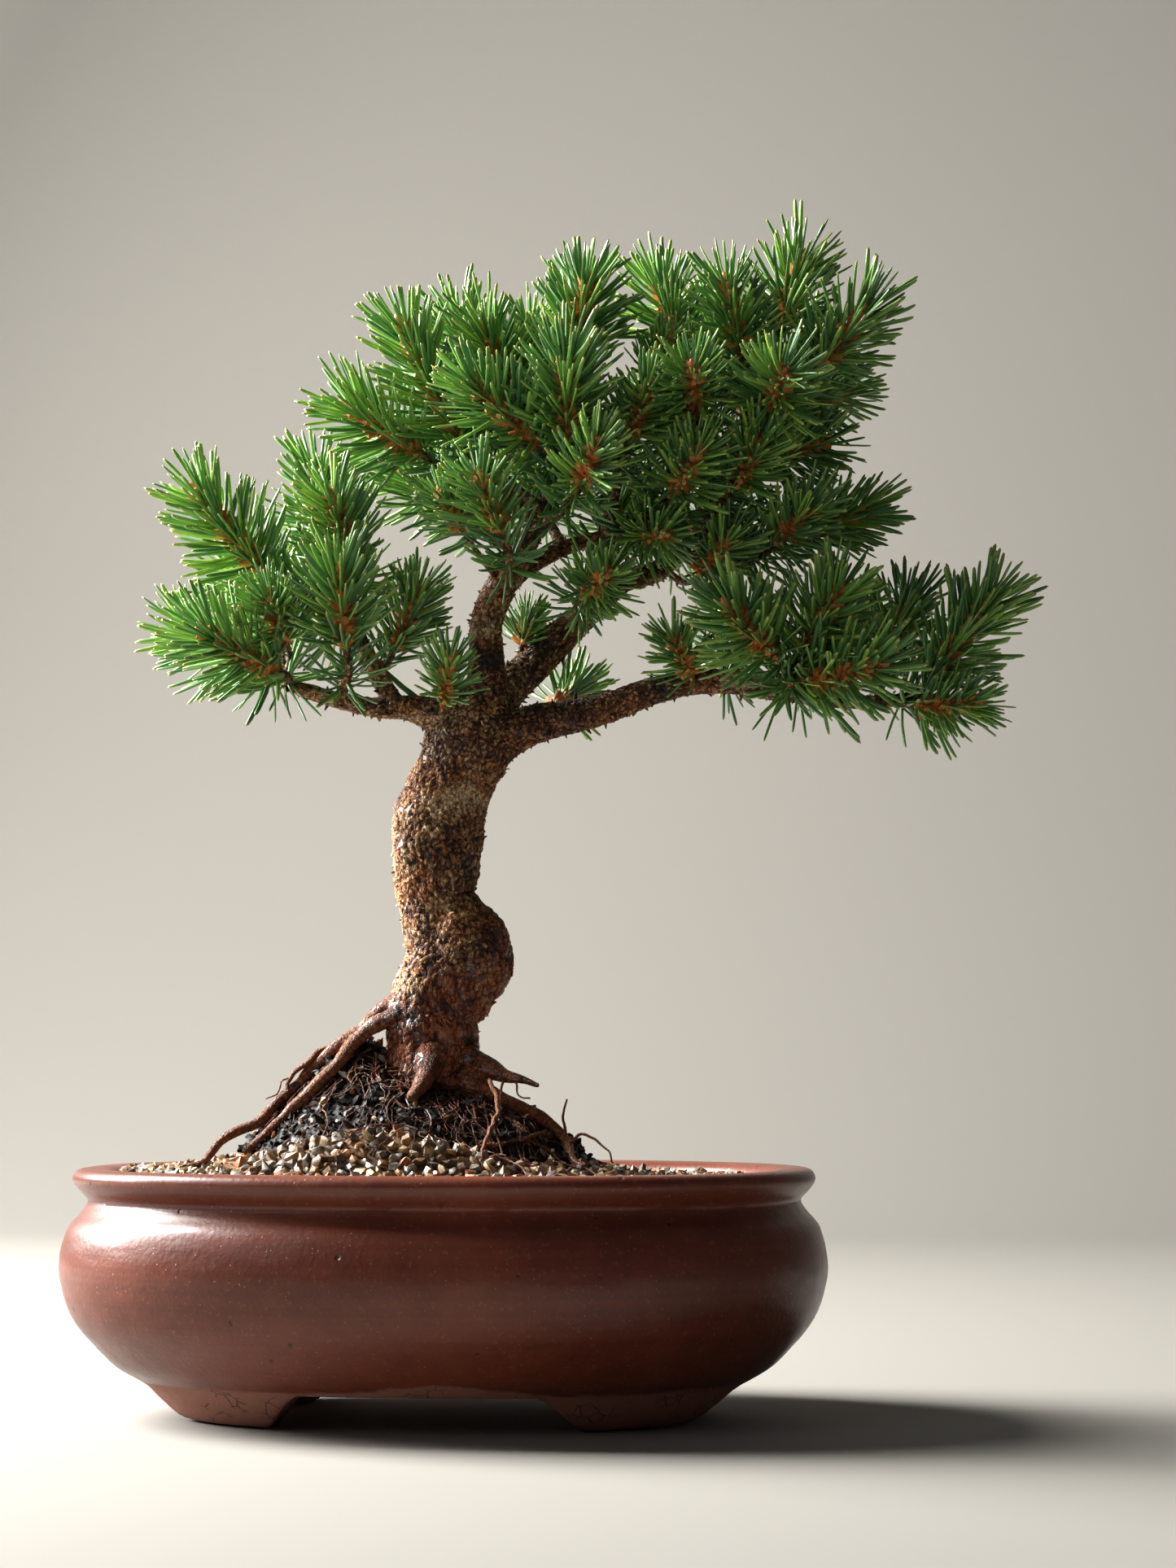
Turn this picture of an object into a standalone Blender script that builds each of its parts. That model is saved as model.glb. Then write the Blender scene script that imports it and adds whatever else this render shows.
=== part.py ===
"""A small bonsai pine growing in an oval, footed stoneware pot.

The tree leans back and forth on its way up, spreads its surface roots over a mound of
dark soil, and carries its needles in dense shoots on four limbs. The model is in metres,
+Z up. Everything hangs on one empty, which stands the finished model with the middle of
its box over the world's origin and its feet on z = 0. All numbers below are measured from
the middle of the pot's plan and from the surface that the pot stands on.
"""
import math

import bmesh
import bpy
from mathutils import Matrix, Vector

# ---- driving dimensions, metres ----------------------------------------------------------
GAP = 0.0003                 # air between two pieces that touch
POT_HALF_LENGTH = 0.120      # at the belly
POT_HALF_DEPTH = 0.0886
OVAL_POWER = 2.3             # 2 is an ellipse, more is squarer
POT_SIDES = 40
# The wall's section as (inset from the belly, height), from under the foot to the floor.
FOOT_SECTION = ((0.0530, 0.0114), (0.0520, 0.0000), (0.0405, 0.0000), (0.0362, 0.0014),
                (0.0300, 0.0072), (0.0262, 0.0108))
BODY_SECTION = ((0.0173, 0.0162), (0.0109, 0.0226), (0.0049, 0.0298), (0.0013, 0.0380),
                (0.0000, 0.0480), (0.0022, 0.0582), (0.0066, 0.0638))
RIM_SECTION = ((0.0085, 0.0672), (0.0060, 0.0700), (0.0037, 0.0735), (0.0050, 0.0763),
               (0.0090, 0.0770), (0.0150, 0.0764), (0.0176, 0.0740))
INNER_SECTION = ((0.0180, 0.0700), (0.0150, 0.0630), (0.0110, 0.0560), (0.0080, 0.0460),
                 (0.0098, 0.0360), (0.0150, 0.0265), (0.0290, 0.0173))
GATE_TOP = 0.0116            # the gaps between the feet end just above the pot's underside
GATE_BEND = 0.0085           # where a gap's sloping side turns in towards its top
GATE_FLARE = 0.004           # how much wider the gap is at that bend than at its top
GATE_START = -0.002          # the gap's cutter starts below the ground
FRONT_GATE = (0.036, 0.049)  # half-widths at the top and at the ground
SIDE_GATE = (0.012, 0.021)
GATE_RUN = 0.15              # the cutter's half-length, well past the pot
DRAIN_X = 0.045
DRAIN_RADIUS = 0.008
DRAIN_DEPTH = 0.03           # the drill's length, about the middle of the pot's floor
DRAIN_MIDDLE = 0.0155
MESH_SIZE = 0.026
MESH_THICKNESS = 0.0010
MESH_MARGIN = 0.002          # room left in the soil round a drain mesh
MESH_ROOM = 0.008            # height of that room
MESH_HOLES = 3
MESH_HOLE = 0.0050
MESH_PUNCH = 0.006           # height of the punch that makes the holes
CLIP_RADIUS = 0.0006
CLIP_FOOT = 0.006            # how far a clip's feet are bent outwards under the pot
CLIP_BEND = 0.0016           # the length of each of its bends
CLIP_UNDER = 0.0093          # height of the feet, below the pot's underside
CLIP_LEG = 0.0110            # height where the legs start

SOIL_TOP = 0.0580
SOIL_LEVELS = (0.0265, 0.0360, 0.0460, SOIL_TOP)
WALL_CLEARANCE = 0.0005      # between the pot's wall and what fills it
GRAVEL_EDGE_TOP = 0.0745     # over the middle of the pot, without the banked gravel
GRAVEL_TILT = -0.016         # the gravel lies higher at the left end than at the right
MOUND_CENTRE = Vector((-0.014, -0.003))
MOUND_LEFT = 0.060           # the mound's foot: half-length on each side, and half-depth
MOUND_RIGHT = 0.070
MOUND_DEEP = 0.047
MOUND_BASE = 0.068
MOUND_RISE = 0.034
MOUND_POWER = 2.6
COLLAR_CENTRE = Vector((-0.028, -0.002))
COLLAR_RISE = 0.014          # soil banked against the trunk on the root side
COLLAR_HALF = (0.020, 0.018)
HEAP_CENTRE = Vector((-0.014, -0.036))
HEAP_RISE = 0.0105           # gravel banked up in front of the mound
HEAP_HALF = (0.030, 0.014)
SKIRT_RISE = 0.0045          # gravel piled against the mound's foot all round
SKIRT_START = 0.80           # share of the mound's foot where that gravel starts to fall away
SKIRT_REACH = 0.28
MOUND_SHARES = (0.14, 0.30, 0.46, 0.62, 0.76, 0.88, 1.0)
GRAVEL_SHARES = (0.50, 0.66, 0.80, 0.92, 1.04)
WALL_SHARES = (0.35, 0.75)   # rings between the mound's foot and the pot's wall
ROOT_CLEARANCE = 0.0011      # between a root's skin and the ground it runs over
BURIED_MARGIN = 0.004        # a root starts this far inside the trunk's skin
POCKET_MARGIN = 0.0008       # room in the mound round the trunk's foot
POCKET_DEPTH = 0.0012        # and under it

NEEDLE_SPREAD = 0.0175       # radius of a full-grown shoot's needles
NEEDLE_REACH = 0.0140        # how far the needles pass the bud
LEAST_GROWTH = 0.62          # a short shoot's needles, as a share of a full one's
FULL_SHOOT = 0.024           # stem length of a full-grown shoot
SHOOT_SIDES = 8
SHOOT_RINGS = 5
TWIG_RADII = (0.0021, 0.0014)  # where a twig leaves its limb, and at the shoot
TWIG_NECK = 0.0025           # the twig's last stretch lies along the shoot's axis

# ---- the wood: (x, y, z, radius) along each piece -----------------------------------------
TRUNK = ((-0.005, 0.000, 0.092, 0.0170), (-0.005, 0.000, 0.100, 0.0163),
         (-0.004, 0.000, 0.112, 0.0147), (-0.004, 0.000, 0.125, 0.0144),
         (-0.001, 0.000, 0.142, 0.0124), (-0.002, 0.000, 0.152, 0.0114),
         (-0.003, 0.000, 0.161, 0.0117), (-0.003, 0.000, 0.171, 0.0134),
         (-0.003, 0.000, 0.181, 0.0144), (-0.001, 0.000, 0.191, 0.0139),
         (0.003, 0.000, 0.201, 0.0130), (0.007, 0.001, 0.211, 0.0142),
         (0.010, 0.001, 0.220, 0.0126), (0.011, 0.001, 0.229, 0.0070))
BURL = ((0.010, -0.001, 0.143), (0.0110, 0.0115, 0.0155))    # centre and half-sizes
LIMBS = {
    "left": ((0.004, 0.000, 0.216, 0.0077), (-0.007, -0.004, 0.221, 0.0049),
             (-0.013, -0.005, 0.222, 0.0039), (-0.023, -0.008, 0.222, 0.0031),
             (-0.037, -0.012, 0.225, 0.0026), (-0.050, -0.015, 0.229, 0.0021)),
    "left_riser": ((-0.015, -0.006, 0.222, 0.0032), (-0.020, -0.007, 0.230, 0.0030),
                   (-0.025, -0.008, 0.240, 0.0026), (-0.031, -0.006, 0.252, 0.0022),
                   (-0.036, -0.004, 0.263, 0.0018)),
    "front_upright": ((0.011, 0.001, 0.216, 0.0088), (0.013, -0.001, 0.225, 0.0070),
                      (0.013, -0.003, 0.238, 0.0057), (0.013, -0.003, 0.249, 0.0052),
                      (0.016, 0.000, 0.259, 0.0050), (0.021, 0.002, 0.268, 0.0044),
                      (0.027, 0.003, 0.279, 0.0034), (0.032, 0.003, 0.289, 0.0028),
                      (0.034, 0.003, 0.298, 0.0024), (0.035, 0.004, 0.310, 0.0020)),
    "front_spur": ((0.016, 0.000, 0.259, 0.0036), (0.024, 0.008, 0.268, 0.0030),
                   (0.036, 0.011, 0.275, 0.0026), (0.050, 0.011, 0.279, 0.0022)),
    "rear_upright": ((0.012, 0.005, 0.218, 0.0088), (0.017, 0.012, 0.229, 0.0067),
                     (0.028, 0.017, 0.240, 0.0056), (0.037, 0.020, 0.250, 0.0052),
                     (0.047, 0.019, 0.259, 0.0044), (0.055, 0.017, 0.265, 0.0038),
                     (0.067, 0.018, 0.269, 0.0034), (0.077, 0.021, 0.281, 0.0028),
                     (0.085, 0.022, 0.295, 0.0025), (0.092, 0.020, 0.310, 0.0021),
                     (0.096, 0.016, 0.322, 0.0018)),
    "right": ((0.011, 0.001, 0.209, 0.0098), (0.019, -0.001, 0.213, 0.0072),
              (0.029, -0.002, 0.217, 0.0062), (0.040, -0.002, 0.219, 0.0054),
              (0.052, -0.001, 0.222, 0.0049), (0.065, 0.001, 0.227, 0.0044),
              (0.078, 0.002, 0.230, 0.0041), (0.091, 0.003, 0.230, 0.0038), (0.106, 0.004, 0.227, 0.0032),
              (0.127, 0.007, 0.224, 0.0024), (0.142, 0.009, 0.224, 0.0018)),
}
# Roots that leave the trunk in the air come down to the ground, then follow it: points in
# the air are (x, y, z, radius), points on the ground (x, y, radius).
ROOTS = {
    "left_high": ((-0.012, -0.002, 0.1300, 0.0040), (-0.0205, -0.004, 0.1255, 0.0027),
                  (-0.026, -0.006, 0.1195, 0.0023), (-0.033, -0.009, 0.1150, 0.0021),
                  (-0.040, -0.008, 0.0020), (-0.046, -0.009, 0.0018), (-0.051, -0.010, 0.0016),
                  (-0.057, -0.012, 0.0013)),
    "left_low": ((-0.013, -0.009, 0.1250, 0.0034), (-0.021, -0.010, 0.1215, 0.0026),
                 (-0.027, -0.011, 0.1165, 0.0022), (-0.032, -0.015, 0.0021), (-0.037, -0.018, 0.0020),
                 (-0.043, -0.021, 0.0018), (-0.051, -0.022, 0.0015), (-0.060, -0.023, 0.0012)),
    "left_far": ((-0.046, -0.009, 0.1028, 0.0016), (-0.052, -0.014, 0.0965, 0.0018),
                 (-0.056, -0.018, 0.0915, 0.0018), (-0.062, -0.021, 0.0885, 0.0016),
                 (-0.067, -0.024, 0.0855, 0.0014), (-0.072, -0.028, 0.0012), (-0.078, -0.031, 0.0009)),
    "toe": ((-0.003, -0.010, 0.1120, 0.0062), (-0.0035, -0.0170, 0.1065, 0.0036),
            (-0.005, -0.0225, 0.0024), (-0.007, -0.0270, 0.0016)),
    "right_horn": ((0.006, -0.005, 0.1110, 0.0056), (0.016, -0.010, 0.1075, 0.0032),
                   (0.021, -0.012, 0.1055, 0.0022), (0.026, -0.014, 0.1045, 0.0014),
                   (0.031, -0.015, 0.1025, 0.0008)),
    "right_low": ((0.006, -0.008, 0.1040, 0.0045), (0.018, -0.012, 0.0023), (0.027, -0.011, 0.0021),
                  (0.034, -0.010, 0.0019), (0.040, -0.013, 0.0015), (0.043, -0.020, 0.0012),
                  (0.047, -0.024, 0.0010)),
    "right_back": ((0.004, 0.006, 0.1080, 0.0045), (0.014, 0.013, 0.0026), (0.024, 0.020, 0.0018),
                   (0.034, 0.027, 0.0011)),
    "back": ((-0.005, 0.006, 0.1130, 0.0050), (-0.010, 0.018, 0.1090, 0.0030), (-0.018, 0.026, 0.0021),
             (-0.028, 0.033, 0.0016), (-0.036, 0.040, 0.0010)),
}
# ---- the shoots: where the stem starts and where its bud ends --------------------------------
SHOOTS = {
    "left_1": ((-0.057, -0.011, 0.265), (-0.076, -0.022, 0.288)),
    "left_2": ((-0.050, -0.021, 0.232), (-0.070, -0.037, 0.242)),
    "left_3": ((-0.028, -0.026, 0.238), (-0.029, -0.036, 0.261)),
    "left_4": ((-0.029, -0.017, 0.268), (-0.033, -0.026, 0.286)),
    "left_5": ((-0.040, 0.004, 0.280), (-0.044, 0.008, 0.301)),
    "left_6": ((-0.017, -0.003, 0.241), (-0.009, -0.006, 0.259)),
    "left_7": ((-0.061, 0.014, 0.253), (-0.074, 0.027, 0.274)),
    "left_8": ((-0.043, 0.017, 0.254), (-0.051, 0.034, 0.276)),
    "left_9": ((-0.066, 0.003, 0.238), (-0.088, 0.013, 0.250)),
    "middle_1": ((0.006, -0.003, 0.307), (-0.013, -0.013, 0.343)),
    "middle_2": ((-0.008, -0.001, 0.304), (-0.030, -0.009, 0.318)),
    "middle_3": ((0.009, 0.008, 0.329), (0.002, 0.013, 0.351)),
    "middle_4": ((0.022, -0.008, 0.323), (0.014, -0.017, 0.341)),
    "middle_5": ((0.032, -0.019, 0.303), (0.012, -0.033, 0.320)),
    "middle_6": ((0.041, -0.024, 0.302), (0.042, -0.036, 0.326)),
    "middle_7": ((0.040, -0.002, 0.334), (0.045, -0.006, 0.357)),
    "middle_8": ((0.045, -0.029, 0.288), (0.052, -0.043, 0.298)),
    "middle_9": ((0.060, -0.015, 0.306), (0.067, -0.026, 0.319)),
    "middle_10": ((0.020, -0.022, 0.275), (0.014, -0.031, 0.291)),
    "middle_11": ((0.027, 0.008, 0.328), (0.025, 0.012, 0.348)),
    "middle_12": ((0.004, 0.021, 0.312), (-0.010, 0.033, 0.336)),
    "middle_13": ((0.031, 0.027, 0.314), (0.026, 0.043, 0.346)),
    "middle_14": ((-0.001, 0.016, 0.289), (-0.021, 0.028, 0.305)),
    "middle_15": ((0.025, 0.037, 0.298), (0.019, 0.060, 0.318)),
    "top_1": ((0.073, 0.010, 0.343), (0.067, 0.015, 0.363)),
    "top_2": ((0.094, 0.000, 0.337), (0.090, -0.005, 0.356)),
    "top_3": ((0.107, 0.010, 0.346), (0.113, 0.015, 0.368)),
    "top_4": ((0.119, 0.004, 0.331), (0.134, 0.002, 0.349)),
    "top_5": ((0.104, -0.013, 0.315), (0.109, -0.034, 0.321)),
    "top_6": ((0.081, -0.012, 0.314), (0.081, -0.032, 0.323)),
    "top_7": ((0.091, -0.006, 0.290), (0.101, -0.019, 0.303)),
    "top_8": ((0.073, -0.011, 0.289), (0.082, -0.027, 0.298)),
    "top_9": ((0.108, 0.020, 0.322), (0.127, 0.028, 0.329)),
    "top_10": ((0.101, 0.012, 0.303), (0.120, 0.016, 0.309)),
    "top_11": ((0.088, 0.034, 0.336), (0.083, 0.050, 0.360)),
    "top_12": ((0.105, 0.038, 0.331), (0.118, 0.057, 0.351)),
    "top_13": ((0.074, 0.038, 0.313), (0.064, 0.060, 0.333)),
    "right_1": ((0.105, -0.013, 0.236), (0.092, -0.029, 0.249)),
    "right_2": ((0.114, -0.006, 0.238), (0.125, -0.016, 0.256)),
    "right_3": ((0.114, -0.008, 0.229), (0.137, -0.021, 0.232)),
    "right_4": ((0.153, 0.009, 0.230), (0.173, 0.005, 0.256)),
    "right_5": ((0.139, 0.017, 0.240), (0.147, 0.026, 0.258)),
    "right_6": ((0.110, 0.020, 0.281), (0.132, 0.026, 0.288)),
    "right_7": ((0.105, 0.000, 0.274), (0.117, -0.009, 0.284)),
    "right_8": ((0.149, 0.006, 0.223), (0.166, -0.002, 0.222)),
    "right_9": ((0.117, 0.030, 0.240), (0.130, 0.048, 0.257)),
    "right_10": ((0.090, 0.025, 0.239), (0.094, 0.045, 0.256)),
    "low_1": ((0.063, -0.004, 0.277), (0.071, -0.018, 0.274)),
    "low_2": ((0.045, -0.002, 0.259), (0.053, -0.017, 0.262)),
    "low_3": ((0.049, 0.034, 0.283), (0.053, 0.054, 0.302)),
    "low_4": ((0.074, 0.038, 0.281), (0.084, 0.058, 0.297)),
}


# ---- small helpers ---------------------------------------------------------------------------
def clear_scene():
    """Removes every object of the scene the script starts in."""
    for obj in list(bpy.data.objects):
        bpy.data.objects.remove(obj, do_unlink=True)


def make_material(name, colour, roughness, metallic=0.0):
    """Makes a plain Principled material."""
    material = bpy.data.materials.new(name)
    material.use_nodes = True
    shader = material.node_tree.nodes["Principled BSDF"]
    shader.inputs["Base Color"].default_value = (*colour, 1.0)
    shader.inputs["Roughness"].default_value = roughness
    shader.inputs["Metallic"].default_value = metallic
    return material


def add_object(name, mesh, collection, parent=None, material=None):
    """Links a mesh as a new object."""
    obj = bpy.data.objects.new(name, mesh)
    collection.objects.link(obj)
    obj.parent = parent
    if material is not None:
        obj.data.materials.append(material)
    return obj


def finish_mesh(bm, name):
    """Turns a bmesh into a mesh with its faces pointing out."""
    bmesh.ops.recalc_face_normals(bm, faces=bm.faces)
    mesh = bpy.data.meshes.new(name)
    bm.to_mesh(mesh)
    bm.free()
    return mesh


def shade(obj, angle=math.radians(40.0)):
    """Shades an object smooth, with its sharp edges kept."""
    obj.data.shade_smooth()
    obj.data.set_sharp_from_angle(angle=angle)


def hide_cutter(obj):
    """Marks an object as a cutter."""
    obj.hide_render = True
    obj.display_type = "WIRE"


def cut(obj, cutter):
    """Takes the cutter's shape out of the object."""
    modifier = obj.modifiers.new("cut_" + cutter.name, "BOOLEAN")
    modifier.operation = "DIFFERENCE"
    modifier.solver = "EXACT"
    modifier.object = cutter


def applied_mesh(obj):
    """Gives an object's evaluated mesh as a new mesh."""
    bpy.context.view_layer.update()
    evaluated = obj.evaluated_get(bpy.context.evaluated_depsgraph_get())
    return bpy.data.meshes.new_from_object(evaluated)


# ---- the pot -----------------------------------------------------------------------------------
def oval_ring(inset, height, centre=(0.0, 0.0), half=(POT_HALF_LENGTH, POT_HALF_DEPTH)):
    """Gives the points of one level ring of the pot's oval plan."""
    points = []
    for index in range(POT_SIDES):
        angle = 2.0 * math.pi * index / POT_SIDES
        across = math.copysign(abs(math.cos(angle)) ** (2.0 / OVAL_POWER), math.cos(angle))
        deep = math.copysign(abs(math.sin(angle)) ** (2.0 / OVAL_POWER), math.sin(angle))
        x = centre[0] + (half[0] - inset) * across
        y = centre[1] + (half[1] - inset) * deep
        points.append(Vector((x, y, height)))
    return points


def loft_rings(name, rings):
    """Joins rings of equal count into a closed body with a flat face at each end."""
    bm = bmesh.new()
    loops = [[bm.verts.new(point) for point in ring] for ring in rings]
    count = len(loops[0])
    for lower, upper in zip(loops, loops[1:]):
        for index in range(count):
            after = (index + 1) % count
            bm.faces.new((lower[index], lower[after], upper[after], upper[index]))
    bm.faces.new(loops[0])
    bm.faces.new(loops[-1])
    return finish_mesh(bm, name)


def gate_cutter(name, half_widths, along_x, collection, parent):
    """Makes the prism that opens one pair of gaps between the feet."""
    top, ground = half_widths
    bend = top + GATE_FLARE
    outline = ((-ground, GATE_START), (ground, GATE_START), (bend, GATE_BEND), (top, GATE_TOP),
               (-top, GATE_TOP), (-bend, GATE_BEND))
    bm = bmesh.new()
    near = [bm.verts.new((x, -GATE_RUN, z)) for x, z in outline]
    face = bm.faces.new(near)
    pulled = bmesh.ops.extrude_face_region(bm, geom=[face])
    moved = [item for item in pulled["geom"] if isinstance(item, bmesh.types.BMVert)]
    bmesh.ops.translate(bm, vec=(0.0, 2.0 * GATE_RUN, 0.0), verts=moved)
    if along_x:
        quarter = Matrix.Rotation(math.pi / 2.0, 3, "Z")
        bmesh.ops.rotate(bm, cent=(0.0, 0.0, 0.0), matrix=quarter, verts=bm.verts)
    cutter = add_object(name, finish_mesh(bm, name), collection, parent)
    hide_cutter(cutter)
    return cutter


def drain_cutter(name, x, collection, parent):
    """Makes the drill for one drain hole."""
    bm = bmesh.new()
    bmesh.ops.create_cone(bm, cap_ends=True, segments=24, radius1=DRAIN_RADIUS,
                          radius2=DRAIN_RADIUS, depth=DRAIN_DEPTH)
    bmesh.ops.translate(bm, vec=(x, 0.0, DRAIN_MIDDLE), verts=bm.verts)
    cutter = add_object(name, finish_mesh(bm, name), collection, parent)
    hide_cutter(cutter)
    return cutter


def build_pot(parts, cutters, root):
    """Builds the oval pot with its rolled rim, four feet and two drain holes."""
    section = FOOT_SECTION + BODY_SECTION + RIM_SECTION + INNER_SECTION
    rings = [oval_ring(inset, height) for inset, height in section]
    clay = make_material("brown_stoneware", (0.165, 0.052, 0.035), 0.32)
    pot = add_object("pot", loft_rings("pot", rings), parts, root, clay)
    cut(pot, gate_cutter("front_gate", FRONT_GATE, False, cutters, root))
    cut(pot, gate_cutter("side_gate", SIDE_GATE, True, cutters, root))
    for side, x in (("left", -DRAIN_X), ("right", DRAIN_X)):
        cut(pot, drain_cutter("drain_" + side, x, cutters, root))
    shade(pot)


# ---- what lies in the pot ------------------------------------------------------------------------
def inner_inset(height):
    """Gives the inset of the pot's inner wall at a height."""
    wall = INNER_SECTION[::-1]
    for (low_inset, low), (high_inset, high) in zip(wall, wall[1:]):
        if low <= height <= high:
            share = (height - low) / (high - low)
            return low_inset + share * (high_inset - low_inset)
    return wall[-1][0] if height > wall[-1][1] else wall[0][0]


def mound_share(x, y):
    """Gives how far out a point of the plan lies: 0 at the mound's middle, 1 at its foot."""
    along = x - MOUND_CENTRE.x
    half = MOUND_RIGHT if along > 0.0 else MOUND_LEFT
    return math.hypot(along / half, (y - MOUND_CENTRE.y) / MOUND_DEEP)


def bump(x, y, centre, half):
    """Gives a round bump: 1 over its centre, falling away over its half-widths."""
    return math.exp(-((x - centre.x) / half[0]) ** 2 - ((y - centre.y) / half[1]) ** 2)


def mound_height(x, y):
    """Gives the height of the root mound over a point of the plan."""
    crown = 1.0 - min(1.0, mound_share(x, y)) ** MOUND_POWER
    return MOUND_BASE + MOUND_RISE * crown + COLLAR_RISE * bump(x, y, COLLAR_CENTRE, COLLAR_HALF)


def gravel_height(x, y):
    """Gives the height of the gravel over a point of the plan."""
    past = max(0.0, mound_share(x, y) - SKIRT_START) / SKIRT_REACH
    skirt = SKIRT_RISE * math.exp(-past * past)
    heap = HEAP_RISE * bump(x, y, HEAP_CENTRE, HEAP_HALF)
    return GRAVEL_EDGE_TOP + GRAVEL_TILT * x + skirt + heap


def ground_height(x, y):
    """Gives the height of the ground, soil or gravel, over a point of the plan."""
    return max(mound_height(x, y), gravel_height(x, y))


def ground_mesh(name, rule, reach_rings, bottom, lift=0.0):
    """Makes a closed body from flat bottom up to a height rule, over rings of plan points."""
    bm = bmesh.new()
    loops = []
    for ring in reach_rings:
        loops.append([bm.verts.new((p.x, p.y, rule(p.x, p.y) + lift)) for p in ring])
    count = len(loops[0])
    for inner, outer in zip(loops, loops[1:]):
        for index in range(count):
            after = (index + 1) % count
            bm.faces.new((inner[index], outer[index], outer[after], inner[after]))
    middle = sum((vert.co for vert in loops[0]), Vector()) / count
    middle.z = rule(middle.x, middle.y) + lift
    hub = bm.verts.new(middle)
    for index in range(count):
        bm.faces.new((loops[0][index], loops[0][(index + 1) % count], hub))
    base = [bm.verts.new((p.x, p.y, bottom)) for p in reach_rings[-1]]
    for index in range(count):
        after = (index + 1) % count
        bm.faces.new((loops[-1][index], base[index], base[after], loops[-1][after]))
    bm.faces.new(base)
    return finish_mesh(bm, name)


def plan_ring(share, grow=0.0):
    """Gives a plan ring of the mound at a share of its foot's size."""
    points = []
    for index in range(POT_SIDES):
        angle = 2.0 * math.pi * index / POT_SIDES
        half = MOUND_RIGHT if math.cos(angle) > 0.0 else MOUND_LEFT
        x = MOUND_CENTRE.x + (half * share + grow) * math.cos(angle)
        y = MOUND_CENTRE.y + (MOUND_DEEP * share + grow) * math.sin(angle)
        points.append(Vector((x, y, 0.0)))
    return points


def build_soil(parts, cutters, root):
    """Builds the bulk of soil in the pot, with room under it for the drain meshes."""
    heights = (INNER_SECTION[-1][1] + GAP, *SOIL_LEVELS)
    rings = [oval_ring(inner_inset(height) + WALL_CLEARANCE, height) for height in heights]
    earth = make_material("dark_soil", (0.030, 0.020, 0.014), 0.95)
    soil = add_object("soil", loft_rings("soil", rings), parts, root, earth)
    for side, x in (("left", -DRAIN_X), ("right", DRAIN_X)):
        bm = bmesh.new()
        bmesh.ops.create_cube(bm, size=1.0)
        room = (MESH_SIZE + MESH_MARGIN, MESH_SIZE + MESH_MARGIN, MESH_ROOM)
        bmesh.ops.scale(bm, vec=room, verts=bm.verts)
        bmesh.ops.translate(bm, vec=(x, 0.0, INNER_SECTION[-1][1]), verts=bm.verts)
        recess = add_object("recess_" + side, finish_mesh(bm, "recess_" + side), cutters, root)
        hide_cutter(recess)
        cut(soil, recess)


def build_mound(parts, cutters, root, foot):
    """Builds the mound of dark soil that the roots ride on, with a pocket for the trunk."""
    rings = [plan_ring(share) for share in MOUND_SHARES]
    dark = make_material("black_root_soil", (0.016, 0.012, 0.010), 0.85)
    mound = add_object("root_ball", ground_mesh("root_ball", mound_height, rings, SOIL_TOP + GAP),
                       parts, root, dark)
    cut(mound, foot)
    shade(mound)


def build_gravel(parts, cutters, root):
    """Builds the layer of fine gravel round the mound."""
    rings = [plan_ring(share) for share in GRAVEL_SHARES]
    wall = oval_ring(inner_inset(GRAVEL_EDGE_TOP) + WALL_CLEARANCE, 0.0)
    for share in WALL_SHARES:
        rings.append([inner.lerp(outer, share) for inner, outer in zip(rings[len(GRAVEL_SHARES) - 1], wall)])
    rings.append(wall)
    stone = make_material("washed_gravel", (0.340, 0.220, 0.110), 0.55)
    mesh = ground_mesh("gravel", gravel_height, rings, SOIL_TOP + GAP)
    gravel = add_object("gravel", mesh, parts, root, stone)
    grown = [plan_ring(share, GAP) for share in MOUND_SHARES]
    cutter_mesh = ground_mesh("mound_space", mound_height, grown, SOIL_TOP - 0.004, GAP)
    cutter = add_object("mound_space", cutter_mesh, cutters, root)
    hide_cutter(cutter)
    cut(gravel, cutter)
    shade(gravel)


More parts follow.
